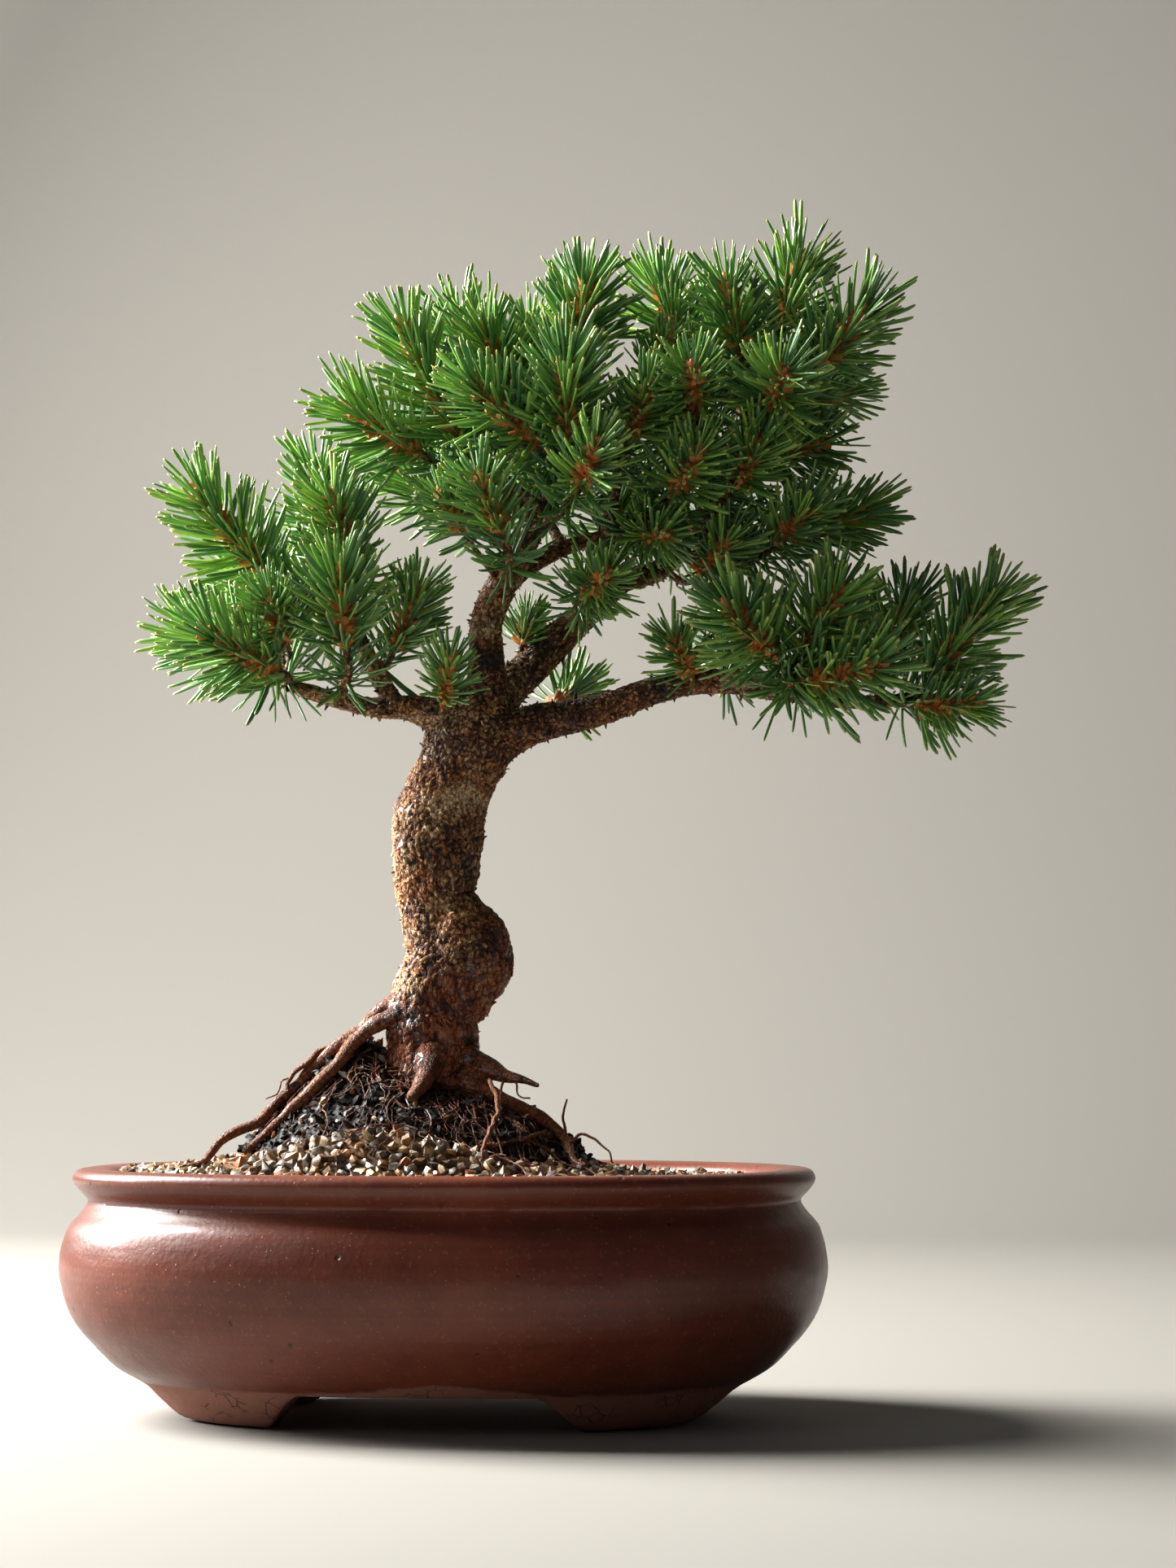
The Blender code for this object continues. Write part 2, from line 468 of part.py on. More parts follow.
def build_drain(side, x, parts, cutters, root):
    """Builds one drain mesh and the wire clip that holds it over its hole."""
    floor = INNER_SECTION[-1][1]
    plastic = make_material("drain_mesh_" + side, (0.035, 0.045, 0.040), 0.55)
    bm = bmesh.new()
    bmesh.ops.create_cube(bm, size=1.0)
    bmesh.ops.scale(bm, vec=(MESH_SIZE, MESH_SIZE, MESH_THICKNESS), verts=bm.verts)
    bmesh.ops.translate(bm, vec=(x, 0.0, floor + GAP + MESH_THICKNESS / 2), verts=bm.verts)
    sheet = add_object("drain_mesh_" + side, finish_mesh(bm, "sheet"), parts, root, plastic)
    pitch = MESH_SIZE / (MESH_HOLES + 0.6)
    punch = bmesh.new()
    for column in range(MESH_HOLES):
        for row in range(MESH_HOLES):
            made = bmesh.ops.create_cube(punch, size=1.0)["verts"]
            bmesh.ops.scale(punch, vec=(MESH_HOLE, MESH_HOLE, MESH_PUNCH), verts=made)
            place = (x + (column - (MESH_HOLES - 1) / 2) * pitch, (row - (MESH_HOLES - 1) / 2) * pitch, floor)
            bmesh.ops.translate(punch, vec=place, verts=made)
    cutter = add_object("punch_" + side, finish_mesh(punch, "punch"), cutters, root)
    hide_cutter(cutter)
    cut(sheet, cutter)

    wire = make_material("clip_wire_" + side, (0.42, 0.40, 0.38), 0.40, 1.0)
    top = floor + GAP * 2 + MESH_THICKNESS + CLIP_RADIUS
    half = [(pitch + CLIP_FOOT, CLIP_UNDER), (pitch + CLIP_BEND, CLIP_UNDER), (pitch, CLIP_LEG),
            (pitch, top - CLIP_BEND), (pitch - CLIP_BEND, top)]
    outline = half + [(-reach, z) for reach, z in half[::-1]]
    clip = tube("drain_clip_" + side, [(x + reach, 0.0, z, CLIP_RADIUS) for reach, z in outline], 2)
    add_object("drain_clip_" + side, clip, parts, root, wire)


# ---- the tree ------------------------------------------------------------------------------------
def tube(name, points, resolution):
    """Makes a tapered round tube along points of (x, y, z, radius) as a closed mesh."""
    curve = bpy.data.curves.new(name, "CURVE")
    curve.dimensions = "3D"
    curve.bevel_depth = 1.0
    curve.bevel_resolution = resolution
    curve.use_fill_caps = True
    spline = curve.splines.new("POLY")
    spline.points.add(len(points) - 1)
    for place, point in zip(spline.points, points):
        place.co = (point[0], point[1], point[2], 1.0)
        place.radius = point[3]
    holder = bpy.data.objects.new(name, curve)
    bpy.context.scene.collection.objects.link(holder)
    mesh = applied_mesh(holder)
    bpy.data.objects.remove(holder, do_unlink=True)
    bm = bmesh.new()
    bm.from_mesh(mesh)
    bmesh.ops.remove_doubles(bm, verts=bm.verts, dist=0.00002)
    bpy.data.meshes.remove(mesh)
    return finish_mesh(bm, name)


def follow_ground(points):
    """Gives a root's points in space: those on the ground lie just above it."""
    path = []
    for point in points:
        if len(point) == 4:
            path.append(point)
        else:
            x, y, radius = point
            path.append((x, y, ground_height(x, y) + radius + ROOT_CLEARANCE, radius))
    return path


def split_long_spans(path, longest=0.0060):
    """Adds points between far ones, so a root keeps to the ground between them."""
    full = []
    for start, end in zip(path, path[1:]):
        near, far = Vector(start), Vector(end)
        steps = max(1, math.ceil((far - near).length / longest))
        full.extend(tuple(near.lerp(far, step / steps)) for step in range(steps))
    full.append(path[-1])
    return full


def root_path(points):
    """Gives the whole path of a root, clear of the ground from its first point on it."""
    path = split_long_spans(follow_ground(points))
    lifted = []
    for x, y, z, radius in path:
        low = ground_height(x, y) + radius + ROOT_CLEARANCE
        buried = math.hypot(x - TRUNK[0][0], y - TRUNK[0][1]) < TRUNK[0][3] - BURIED_MARGIN
        lifted.append((x, y, z if buried else max(z, low), radius))
    return lifted


def twig_path(base, axis, limb_points):
    """Gives the twig from the best-placed point of the limbs to a shoot's base."""
    def cost(point):
        """Says how far and how badly turned a limb point lies."""
        away = base - point
        turn = away.normalized().dot(axis) if away.length > 1e-6 else 1.0
        return away.length * (1.7 - turn)
    start = min(limb_points, key=cost)
    neck = base - axis * TWIG_NECK
    reach = (neck - start).length
    leave = start.lerp(neck, 0.40)
    arrive = neck - axis * min(0.45 * reach, 0.012)
    steps = 2 if reach < 0.012 else 3
    path = []
    for step in range(steps + 1):
        t = step / steps
        s = 1.0 - t
        place = start * s ** 3 + leave * (3 * s * s * t) + arrive * (3 * s * t * t) + neck * t ** 3
        path.append((*place, TWIG_RADII[0] + t * (TWIG_RADII[1] - TWIG_RADII[0])))
    path.append((*base, TWIG_RADII[1]))
    return path


def burl_mesh():
    """Makes the round swelling on the trunk's right side."""
    centre, half = BURL
    bm = bmesh.new()
    bmesh.ops.create_uvsphere(bm, u_segments=12, v_segments=8, radius=1.0)
    bmesh.ops.scale(bm, vec=half, verts=bm.verts)
    bmesh.ops.translate(bm, vec=centre, verts=bm.verts)
    return finish_mesh(bm, "burl")


def plan_wood():
    """Gives every stretch of wood as a named path, and each shoot's own twig."""
    paths = {"trunk": list(TRUNK)}
    paths.update({name: list(points) for name, points in LIMBS.items()})
    limb_points = []
    for name, points in LIMBS.items():
        for start, end in zip(points[1:], points[2:]):
            near, far = Vector(start[:3]), Vector(end[:3])
            limb_points.extend(near.lerp(far, share) for share in (0.0, 0.35, 0.70))
        limb_points.append(Vector(points[-1][:3]))
    for name, (base, tip) in SHOOTS.items():
        axis = (Vector(tip) - Vector(base)).normalized()
        paths["twig_" + name] = twig_path(Vector(base), axis, limb_points)
    return paths


def build_wood(paths, parts, cutters, root):
    """Joins the trunk, limbs, twigs and surface roots into the tree's one piece of wood."""
    pile = bpy.data.collections.new("wood_pieces")
    bpy.context.scene.collection.children.link(pile)
    for name, path in paths.items():
        if name != "trunk":
            sides = 1 if name.startswith("twig_") else 2
            add_object("join_" + name, tube(name, path, sides), pile, root)
    for name, points in ROOTS.items():
        add_object("join_root_" + name, tube(name, root_path(points), 1), pile, root)
    add_object("join_burl", burl_mesh(), pile, root)
    bark = make_material("flaky_bark", (0.180, 0.090, 0.045), 0.85)
    whole = add_object("whole_trunk", tube("trunk", paths["trunk"], 4), cutters, root)
    join = whole.modifiers.new("join", "BOOLEAN")
    join.operation = "UNION"
    join.solver = "EXACT"
    join.operand_type = "COLLECTION"
    join.collection = pile
    join.use_self = True
    trunk = add_object("trunk", applied_mesh(whole), parts, root, bark)
    trunk.data.name = "trunk"
    for obj in list(pile.objects):
        bpy.data.objects.remove(obj, do_unlink=True)
    bpy.data.collections.remove(pile)
    bpy.data.objects.remove(whole, do_unlink=True)
    shade(trunk)


def trunk_pocket(cutters, root):
    """Makes the space that the trunk's foot and its roots' starts take out of the mound."""
    foot = [(x, y, z, radius + POCKET_MARGIN) for x, y, z, radius in TRUNK[:4]]
    foot[0] = (foot[0][0], foot[0][1], foot[0][2] - POCKET_DEPTH, foot[0][3])
    pocket = add_object("trunk_pocket", tube("trunk_pocket", foot, 4), cutters, root)
    hide_cutter(pocket)
    return pocket


def closest_between(first, second):
    """Gives the closest points of two straight stretches."""
    a, b = first
    c, d = second
    u, v, w = b - a, d - c, a - c
    uu, uv, vv = u.dot(u), u.dot(v), v.dot(v)
    uw, vw = u.dot(w), v.dot(w)
    spread = uu * vv - uv * uv
    s = 0.0 if spread < 1e-14 else min(1.0, max(0.0, (uv * vw - vv * uw) / spread))
    t = (uv * s + vw) / vv if vv > 1e-14 else 0.0
    t = min(1.0, max(0.0, t))
    s = min(1.0, max(0.0, (uv * t - uw) / uu)) if uu > 1e-14 else 0.0
    return a + u * s, c + v * t


def shoot_size(name):
    """Gives a shoot's base, axis, stem length, needle radius and reach."""
    base, tip = (Vector(point) for point in SHOOTS[name])
    axis = (tip - base).normalized()
    length = (tip - base).length
    growth = min(1.0, max(LEAST_GROWTH, length / FULL_SHOOT))
    return base, axis, length, NEEDLE_SPREAD * growth, NEEDLE_REACH * growth


def shoot_planes(name, paths):
    """Gives the planes that keep a shoot's solid clear of the wood and the other shoots."""
    base, axis, length, spread, reach = shoot_size(name)
    core = (base + axis * 0.002, base + axis * length)
    planes = [(base + axis * GAP, axis)]
    for other, path in paths.items():
        if other == "twig_" + name:
            continue
        for start, end in zip(path, path[1:]):
            here, there = closest_between(core, (Vector(start[:3]), Vector(end[:3])))
            radius = max(start[3], end[3])
            away = here - there
            if away.length < spread + reach + radius and away.length > 1e-6:
                direction = away.normalized()
                planes.append((there + direction * (radius + 2 * GAP), direction))
    for other in SHOOTS:
        if other == name:
            continue
        far_base, far_axis, far_length, far_spread, far_reach = shoot_size(other)
        far_core = (far_base + far_axis * 0.002, far_base + far_axis * far_length)
        here, there = closest_between(core, far_core)
        away = here - there
        if away.length < spread + reach + far_spread + far_reach:
            share = far_spread / (spread + far_spread)
            direction = away.normalized()
            planes.append((there + away * share + direction * GAP * 0.6, direction))
    return planes


def cut_by_plane(bm, point, direction):
    """Keeps the part of a convex body on the side that the direction points to."""
    if all((vert.co - point).dot(direction) > 1e-5 for vert in bm.verts):
        return
    everything = bm.verts[:] + bm.edges[:] + bm.faces[:]
    made = bmesh.ops.bisect_plane(bm, geom=everything, dist=1e-6, plane_co=point,
                                  plane_no=direction, clear_inner=True)
    edges = [item for item in made["geom_cut"] if isinstance(item, bmesh.types.BMEdge)]
    bmesh.ops.edgeloop_fill(bm, edges=edges)


def build_shoot(name, paths, parts, root, leaf):
    """Builds the closed solid round one shoot's stem, needles and bud."""
    base, axis, length, spread, reach = shoot_size(name)
    half = (length + reach) / 1.94
    bm = bmesh.new()
    bmesh.ops.create_uvsphere(bm, u_segments=SHOOT_SIDES, v_segments=SHOOT_RINGS, radius=1.0)
    bmesh.ops.scale(bm, vec=(spread, spread, half), verts=bm.verts)
    turn = Vector((0.0, 0.0, 1.0)).rotation_difference(axis).to_matrix()
    bmesh.ops.rotate(bm, cent=(0.0, 0.0, 0.0), matrix=turn, verts=bm.verts)
    bmesh.ops.translate(bm, vec=base + axis * (half * 0.94), verts=bm.verts)
    for point, direction in shoot_planes(name, paths):
        cut_by_plane(bm, point, direction)
    corners = [vert.co.copy() for vert in bm.verts]
    bm.free()
    bm = bmesh.new()
    for corner in corners:
        bm.verts.new(corner)
    bmesh.ops.remove_doubles(bm, verts=bm.verts, dist=0.00015)
    hull = bmesh.ops.convex_hull(bm, input=bm.verts)
    spare = set(hull["geom_interior"]) | set(hull["geom_unused"])
    bmesh.ops.delete(bm, geom=[item for item in spare if isinstance(item, bmesh.types.BMVert)],
                     context="VERTS")
    bmesh.ops.dissolve_limit(bm, angle_limit=math.radians(0.5), verts=bm.verts, edges=bm.edges)
    mesh = finish_mesh(bm, "shoot_" + name)
    add_object("shoot_" + name, mesh, parts, root, leaf)


def build_tree(parts, cutters, root):
    """Builds the wood and every shoot."""
    paths = plan_wood()
    build_wood(paths, parts, cutters, root)
    for name in SHOOTS:
        leaf = make_material("pine_shoot_" + name, (0.055, 0.140, 0.035), 0.50)
        build_shoot(name, paths, parts, root, leaf)


def stand_on_origin(parts, root):
    """Moves the model so the middle of its box is over the origin and its feet are on z = 0."""
    bpy.context.view_layer.update()
    depsgraph = bpy.context.evaluated_depsgraph_get()
    corners = []
    for obj in parts.objects:
        evaluated = obj.evaluated_get(depsgraph)
        corners.extend(vert.co.copy() for vert in evaluated.data.vertices)
    low = [min(corner[axis] for corner in corners) for axis in range(3)]
    high = [max(corner[axis] for corner in corners) for axis in range(3)]
    root.location = (-(low[0] + high[0]) / 2, -(low[1] + high[1]) / 2, -low[2])


def main():
    """Builds the whole model."""
    clear_scene()
    scene = bpy.context.scene
    parts = bpy.data.collections.new("bonsai_in_pot")
    cutters = bpy.data.collections.new("cutters")
    scene.collection.children.link(parts)
    scene.collection.children.link(cutters)
    root = bpy.data.objects.new("bonsai_root", None)
    scene.collection.objects.link(root)
    build_pot(parts, cutters, root)
    build_soil(parts, cutters, root)
    build_mound(parts, cutters, root, trunk_pocket(cutters, root))
    build_gravel(parts, cutters, root)
    for side, x in (("left", -DRAIN_X), ("right", DRAIN_X)):
        build_drain(side, x, parts, cutters, root)
    build_tree(parts, cutters, root)
    stand_on_origin(parts, root)


main()
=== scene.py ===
"""Looks of a small bonsai pine growing in an oval, footed stoneware pot.

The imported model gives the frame: its solids stay for collision and size, and every visible
surface is made here around them. Each sub-assembly is a class with its own sizes, in metres
and measured from the middle of the pot's plan and from the ground, and a finished piece is
moved once, in its mesh, to where the frame holds the pot. What repeats, such as needles,
scales, pebbles and crumbs, is made by Geometry Nodes trees that are built here.
"""
from __future__ import annotations

import logging
import math
import random
from dataclasses import dataclass, field
from enum import Enum
from typing import Any, Callable, Iterable, Sequence

import bmesh
import bpy
import numpy as np
from mathutils import Matrix, Vector, noise


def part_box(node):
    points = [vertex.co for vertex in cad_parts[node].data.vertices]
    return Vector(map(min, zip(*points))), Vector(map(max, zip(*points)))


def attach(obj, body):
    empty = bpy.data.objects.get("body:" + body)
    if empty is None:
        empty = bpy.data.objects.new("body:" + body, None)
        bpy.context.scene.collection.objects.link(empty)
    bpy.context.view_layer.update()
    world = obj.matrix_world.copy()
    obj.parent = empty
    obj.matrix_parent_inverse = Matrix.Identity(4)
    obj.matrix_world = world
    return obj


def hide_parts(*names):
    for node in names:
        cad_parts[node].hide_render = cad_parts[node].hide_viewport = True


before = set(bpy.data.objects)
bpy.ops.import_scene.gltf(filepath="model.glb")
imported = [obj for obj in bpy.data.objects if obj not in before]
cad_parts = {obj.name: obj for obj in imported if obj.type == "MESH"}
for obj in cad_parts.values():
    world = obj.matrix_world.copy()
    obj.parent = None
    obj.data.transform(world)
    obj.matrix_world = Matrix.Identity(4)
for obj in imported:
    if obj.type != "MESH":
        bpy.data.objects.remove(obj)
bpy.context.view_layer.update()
LOG = logging.getLogger("bonsai")

Triple = tuple[float, float, float]
Row = tuple[float, ...]
GOLDEN_ANGLE = math.pi * (3.0 - math.sqrt(5.0))
BODY = "root"
BAKE_MAP = "OFBake"


class Slot(Enum):
    """Finish names for the pieces."""

    GLAZE = "pot_glaze"
    BARK = "bark"
    NEEDLE = "pine_needle"
    BUD = "bud_scale"
    SOIL = "dark_soil"
    GRAVEL = "gravel_stone"
    PLASTIC = "drain_plastic"
    WIRE = "clip_wire"


# ---- node trees ----
def pick(sockets: Any, key: str | int) -> Any:
    """Gives one live socket of a node.

    Args:
        sockets: A node's inputs or outputs.
        key: The socket's name, or its place among the live ones.

    Returns:
        The socket.
    """
    live = [socket for socket in sockets if socket.enabled]
    if isinstance(key, int):
        return live[key]
    return next(socket for socket in live if socket.name == key)


class Term:
    """One output of a node, which adds Math nodes when it stands in an expression."""

    def __init__(self, nodes: "Nodes", node: Any, output: str | int = 0) -> None:
        """Wraps the output of a node."""
        self.nodes = nodes
        self.node = node
        self.socket = pick(node.outputs, output)

    def out(self, output: str | int) -> "Term":
        """Gives another output of the same node."""
        return Term(self.nodes, self.node, output)

    def __add__(self, other: Any) -> "Term":
        """Adds."""
        return self.nodes.math("ADD", self, other)

    def __radd__(self, other: Any) -> "Term":
        """Adds from the left."""
        return self.nodes.math("ADD", other, self)

    def __sub__(self, other: Any) -> "Term":
        """Takes away."""
        return self.nodes.math("SUBTRACT", self, other)

    def __rsub__(self, other: Any) -> "Term":
        """Is taken away."""
        return self.nodes.math("SUBTRACT", other, self)

    def __mul__(self, other: Any) -> "Term":
        """Multiplies."""
        return self.nodes.math("MULTIPLY", self, other)

    def __rmul__(self, other: Any) -> "Term":
        """Multiplies from the left."""
        return self.nodes.math("MULTIPLY", other, self)

    def __truediv__(self, other: Any) -> "Term":
        """Divides."""
        return self.nodes.math("DIVIDE", self, other)

    def __pow__(self, other: Any) -> "Term":
        """Raises to a power."""
        return self.nodes.math("POWER", self, other)


class Nodes:
    """Adds nodes to one tree, of a material or of geometry."""

    def __init__(self, tree: Any) -> None:
        """Starts on a tree."""
        self.tree = tree

    def feed(self, socket: Any, value: Any) -> None:
        """Sets a socket, or links it.

        Args:
            socket: The input.
            value: A Term to link, a list of Terms for a socket that takes several, or a value.
        """
        if isinstance(value, Term):
            self.tree.links.new(value.socket, socket)
        elif isinstance(value, list):
            for term in value:
                self.tree.links.new(term.socket, socket)
        elif socket.type == "RGBA" and len(value) == 3:
            socket.default_value = (*value, 1.0)
        else:
            socket.default_value = value

    def add(self, kind: str, settings: dict[str, Any] | None = None,
            values: dict[str | int, Any] | None = None, output: str | int = 0) -> Term:
        """Adds a node.

        Args:
            kind: The node's type.
            settings: Its own settings, set first; "stops" are a colour ramp's.
            values: What its sockets get.
            output: The output that the result wraps.

        Returns:
            The node's output.
        """
        node = self.tree.nodes.new(kind)
        for name, value in (settings or {}).items():
            if name == "stops":
                set_stops(node.color_ramp, value)
            else:
                setattr(node, name, value)
        for key, value in (values or {}).items():
            self.feed(pick(node.inputs, key), value)
        return Term(self, node, output)

    def math(self, operation: str, *values: Any) -> Term:
        """Adds a Math node."""
        return self.add("ShaderNodeMath", {"operation": operation}, dict(enumerate(values)))

    def vector(self, operation: str, *values: Any) -> Term:
        """Adds a Vector Math node."""
        return self.add("ShaderNodeVectorMath", {"operation": operation}, dict(enumerate(values)))

    def xyz(self, x: Any, y: Any, z: Any) -> Term:
        """Gives a vector of three parts."""
        return self.add("ShaderNodeCombineXYZ", {}, {"X": x, "Y": y, "Z": z})

    def scaled(self, vector: Term, factor: Any) -> Term:
        """Gives a vector times a number."""
        return self.vector("SCALE", vector, factor)

    def step(self, value: Term, low: float, high: float, start: float = 0.0, end: float = 1.0) -> Term:
        """Gives a smooth step from start to end while the value goes from low to high."""
        return self.add("ShaderNodeMapRange", {"interpolation_type": "SMOOTHSTEP"},
                        {"Value": value, "From Min": low, "From Max": high, "To Min": start, "To Max": end})

    def noise(self, place: Term, scale: float, detail: float = 3.0, roughness: float = 0.55,
              distortion: float = 0.0) -> Term:
        """Gives noise from 0 to 1 over a place."""
        return self.add("ShaderNodeTexNoise", {},
                        {"Vector": place, "Scale": scale, "Detail": detail, "Roughness": roughness,
                         "Distortion": distortion})

    def cells(self, place: Term, scale: Any, feature: str = "F1", output: str = "Distance") -> Term:
        """Gives a Voronoi pattern over a place."""
        return self.add("ShaderNodeTexVoronoi", {"feature": feature},
                        {"Vector": place, "Scale": scale}, output)

    def blend(self, factor: Any, first: Any, second: Any) -> Term:
        """Mixes two colours."""
        return self.add("ShaderNodeMix", {"data_type": "RGBA"}, {0: factor, 1: first, 2: second})

    def ramp(self, factor: Term, stops: Sequence[tuple[float, Triple]],
             interpolation: str = "LINEAR") -> Term:
        """Gives the colour of a ramp."""
        made = self.add("ShaderNodeValToRGB", {"stops": stops}, {"Fac": factor})
        made.node.color_ramp.interpolation = interpolation
        return made


def set_stops(ramp: Any, stops: Sequence[tuple[float, Triple]]) -> None:
    """Gives a colour ramp its stops.

    Args:
        ramp: The ramp.
        stops: Each stop's place and colour, in order.
    """
    while len(ramp.elements) > 1:
        ramp.elements.remove(ramp.elements[-1])
    for index, (place, colour) in enumerate(stops):
        element = ramp.elements[0] if index == 0 else ramp.elements.new(place)
        element.position = place
        element.color = (*colour, 1.0)


class Shading(Nodes):
    """The nodes of one new material."""

    def __init__(self, name: str) -> None:
        """Makes an empty material."""
        self.material = bpy.data.materials.new(name)
        self.material.use_nodes = True
        self.material.node_tree.nodes.clear()
        super().__init__(self.material.node_tree)

    def place(self) -> Term:
        """Gives the point's place, in metres."""
        return self.add("ShaderNodeTexCoord", {}, {}, "Object")

    def attribute(self, name: str, output: str = "Fac") -> Term:
        """Gives an attribute of the piece."""
        return self.add("ShaderNodeAttribute", {"attribute_name": name}, {}, output)

    def bump(self, height: Term, distance: float, strength: float = 1.0) -> Term:
        """Gives the normal of a surface with a height pattern on it."""
        return self.add("ShaderNodeBump", {}, {"Height": height, "Distance": distance, "Strength": strength})

    def surface(self, values: dict[str | int, Any]) -> Any:
        """Ends the material in a Principled shader.

        Args:
            values: What the shader's sockets get.

        Returns:
            The material.
        """
        shader = self.add("ShaderNodeBsdfPrincipled", {}, values)
        end = self.tree.nodes.new("ShaderNodeOutputMaterial")
        self.feed(end.inputs["Surface"], shader)
        return self.material


class GeometryTree(Nodes):
    """A Geometry Nodes tree with named inputs that ends in real, dressed geometry."""

    def __init__(self, name: str, inputs: dict[str, Any]) -> None:
        """Makes the tree with its inputs.

        Args:
            name: The tree's name.
            inputs: Each input's name, with its usual number, or what it takes, such as "Object".
        """
        super().__init__(bpy.data.node_groups.new(name, "GeometryNodeTree"))
        self.tree.is_modifier = True
        face = self.tree.interface
        face.new_socket("Geometry", in_out="INPUT", socket_type="NodeSocketGeometry")
        face.new_socket("Geometry", in_out="OUTPUT", socket_type="NodeSocketGeometry")
        self.keys: dict[str, str] = {}
        for label, value in {**inputs, "Material": "Material"}.items():
            kind = value if isinstance(value, str) else type(value).__name__.capitalize()
            socket = face.new_socket(label, in_out="INPUT", socket_type="NodeSocket" + kind)
            if not isinstance(value, str):
                socket.default_value = value
            self.keys[label] = socket.identifier
        self.entry = self.tree.nodes.new("NodeGroupInput")

    def given(self, name: str = "Geometry") -> Term:
        """Gives one of the tree's inputs."""
        return Term(self, self.entry, name)

    def read(self, name: str, kind: str = "FLOAT") -> Term:
        """Gives an attribute of the geometry."""
        return self.add("GeometryNodeInputNamedAttribute", {"data_type": kind}, {"Name": name})

    def chance(self, low: Any, high: Any, seed: Any, kind: str = "FLOAT") -> Term:
        """Gives a random value of each element.

        Args:
            low: The least value.
            high: The greatest value.
            seed: Sets this value apart from the tree's others.
            kind: The value's data type.

        Returns:
            The random value.
        """
        return self.add("FunctionNodeRandomValue", {"data_type": kind},
                        {"Min": low, "Max": high, "Seed": seed})

    def store(self, geometry: Term, name: str, value: Any, kind: str = "FLOAT",
              domain: str = "POINT") -> Term:
        """Keeps a value on the geometry as an attribute."""
        return self.add("GeometryNodeStoreNamedAttribute", {"data_type": kind, "domain": domain},
                        {"Geometry": geometry, "Name": name, "Value": value})

    def label(self, instances: Term, name: str, value: Any) -> Term:
        """Keeps a number for each instance."""
        return self.store(instances, name, value, "FLOAT", "INSTANCE")

    def turned(self, rotation: Term, x: Any, y: Any, z: Any) -> Term:
        """Gives a rotation turned about its own axes."""
        by = self.add("FunctionNodeEulerToRotation", {}, {"Euler": self.xyz(x, y, z)})
        return self.add("FunctionNodeRotateRotation", {"rotation_space": "LOCAL"},
                        {"Rotation": rotation, "Rotate By": by})

    def facing(self, direction: Term) -> Term:
        """Gives the rotation that points Z in a direction."""
        return self.add("FunctionNodeAlignRotationToVector", {"axis": "Z"}, {"Vector": direction})

    def variants(self, name: str) -> Term:
        """Gives the shapes of a collection input, one instance each."""
        return self.add("GeometryNodeCollectionInfo", {},
                        {"Collection": self.given(name), "Separate Children": True, "Reset Children": True})

    def tube(self, line: Term, corners: Any, radius: Any) -> Term:
        """Gives a closed tube along a curve."""
        ring = self.add("GeometryNodeCurvePrimitiveCircle", {}, {"Resolution": corners, "Radius": 1.0})
        return self.add("GeometryNodeCurveToMesh", {},
                        {"Curve": line, "Profile Curve": ring, "Scale": radius, "Fill Caps": True})

    def realized(self, geometry: Term) -> Term:
        """Gives real geometry for instances."""
        return self.add("GeometryNodeRealizeInstances", {}, {"Geometry": geometry})

    def close(self, geometry: Term) -> None:
        """Ends the tree: real geometry, dressed in the material input."""
        real = self.realized(geometry)
        dressed = self.add("GeometryNodeSetMaterial", {},
                           {"Geometry": real, "Material": self.given("Material")})
        end = self.tree.nodes.new("NodeGroupOutput")
        self.feed(end.inputs["Geometry"], dressed)

    def run(self, mesh: Any, values: dict[str, Any]) -> Any:
        """Runs the tree on a mesh.

        Args:
            mesh: What the tree starts from.
            values: The tree's inputs by name.

        Returns:
            The result as a plain mesh.
        """
        holder = linked(self.tree.name, mesh)
        modifier = holder.modifiers.new("tree", "NODES")
        modifier.node_group = self.tree
        for name, value in values.items():
            modifier[self.keys[name]] = value
        made = evaluated_mesh(holder)
        holder.modifiers.clear()
        bpy.data.objects.remove(holder, do_unlink=True)
        return made


# ---- meshes ----
def linked(name: str, data: Any) -> Any:
    """Makes an object in the scene."""
    obj = bpy.data.objects.new(name, data)
    bpy.context.scene.collection.objects.link(obj)
    return obj


def evaluated_mesh(obj: Any) -> Any:
    """Gives an object's mesh with its modifiers applied."""
    bpy.context.view_layer.update()
    depsgraph = bpy.context.evaluated_depsgraph_get()
    return bpy.data.meshes.new_from_object(obj.evaluated_get(depsgraph))


def mesh_from(bm: bmesh.types.BMesh, name: str, outward: bool = True) -> Any:
    """Turns a bmesh into a mesh.

    Args:
        bm: The bmesh, which is freed.
        name: The mesh's name.
        outward: Whether the faces are turned to point out.

    Returns:
        The mesh.
    """
    if outward:
        bmesh.ops.recalc_face_normals(bm, faces=bm.faces)
    mesh = bpy.data.meshes.new(name)
    bm.to_mesh(mesh)
    bm.free()
    return mesh


def read_points(mesh: Any) -> np.ndarray:
    """Gives a mesh's points as rows of x, y, z."""
    flat = np.empty(len(mesh.vertices) * 3)
    mesh.vertices.foreach_get("co", flat)
    return flat.reshape(-1, 3)


def set_attribute(mesh: Any, name: str, values: np.ndarray | Sequence[float]) -> None:
    """Keeps a number or a vector for each point of a mesh."""
    rows = np.asarray(values, dtype=np.float32)
    if rows.ndim == 1:
        mesh.attributes.new(name, "FLOAT", "POINT").data.foreach_set("value", rows)
    else:
        mesh.attributes.new(name, "FLOAT_VECTOR", "POINT").data.foreach_set("vector", rows.ravel())


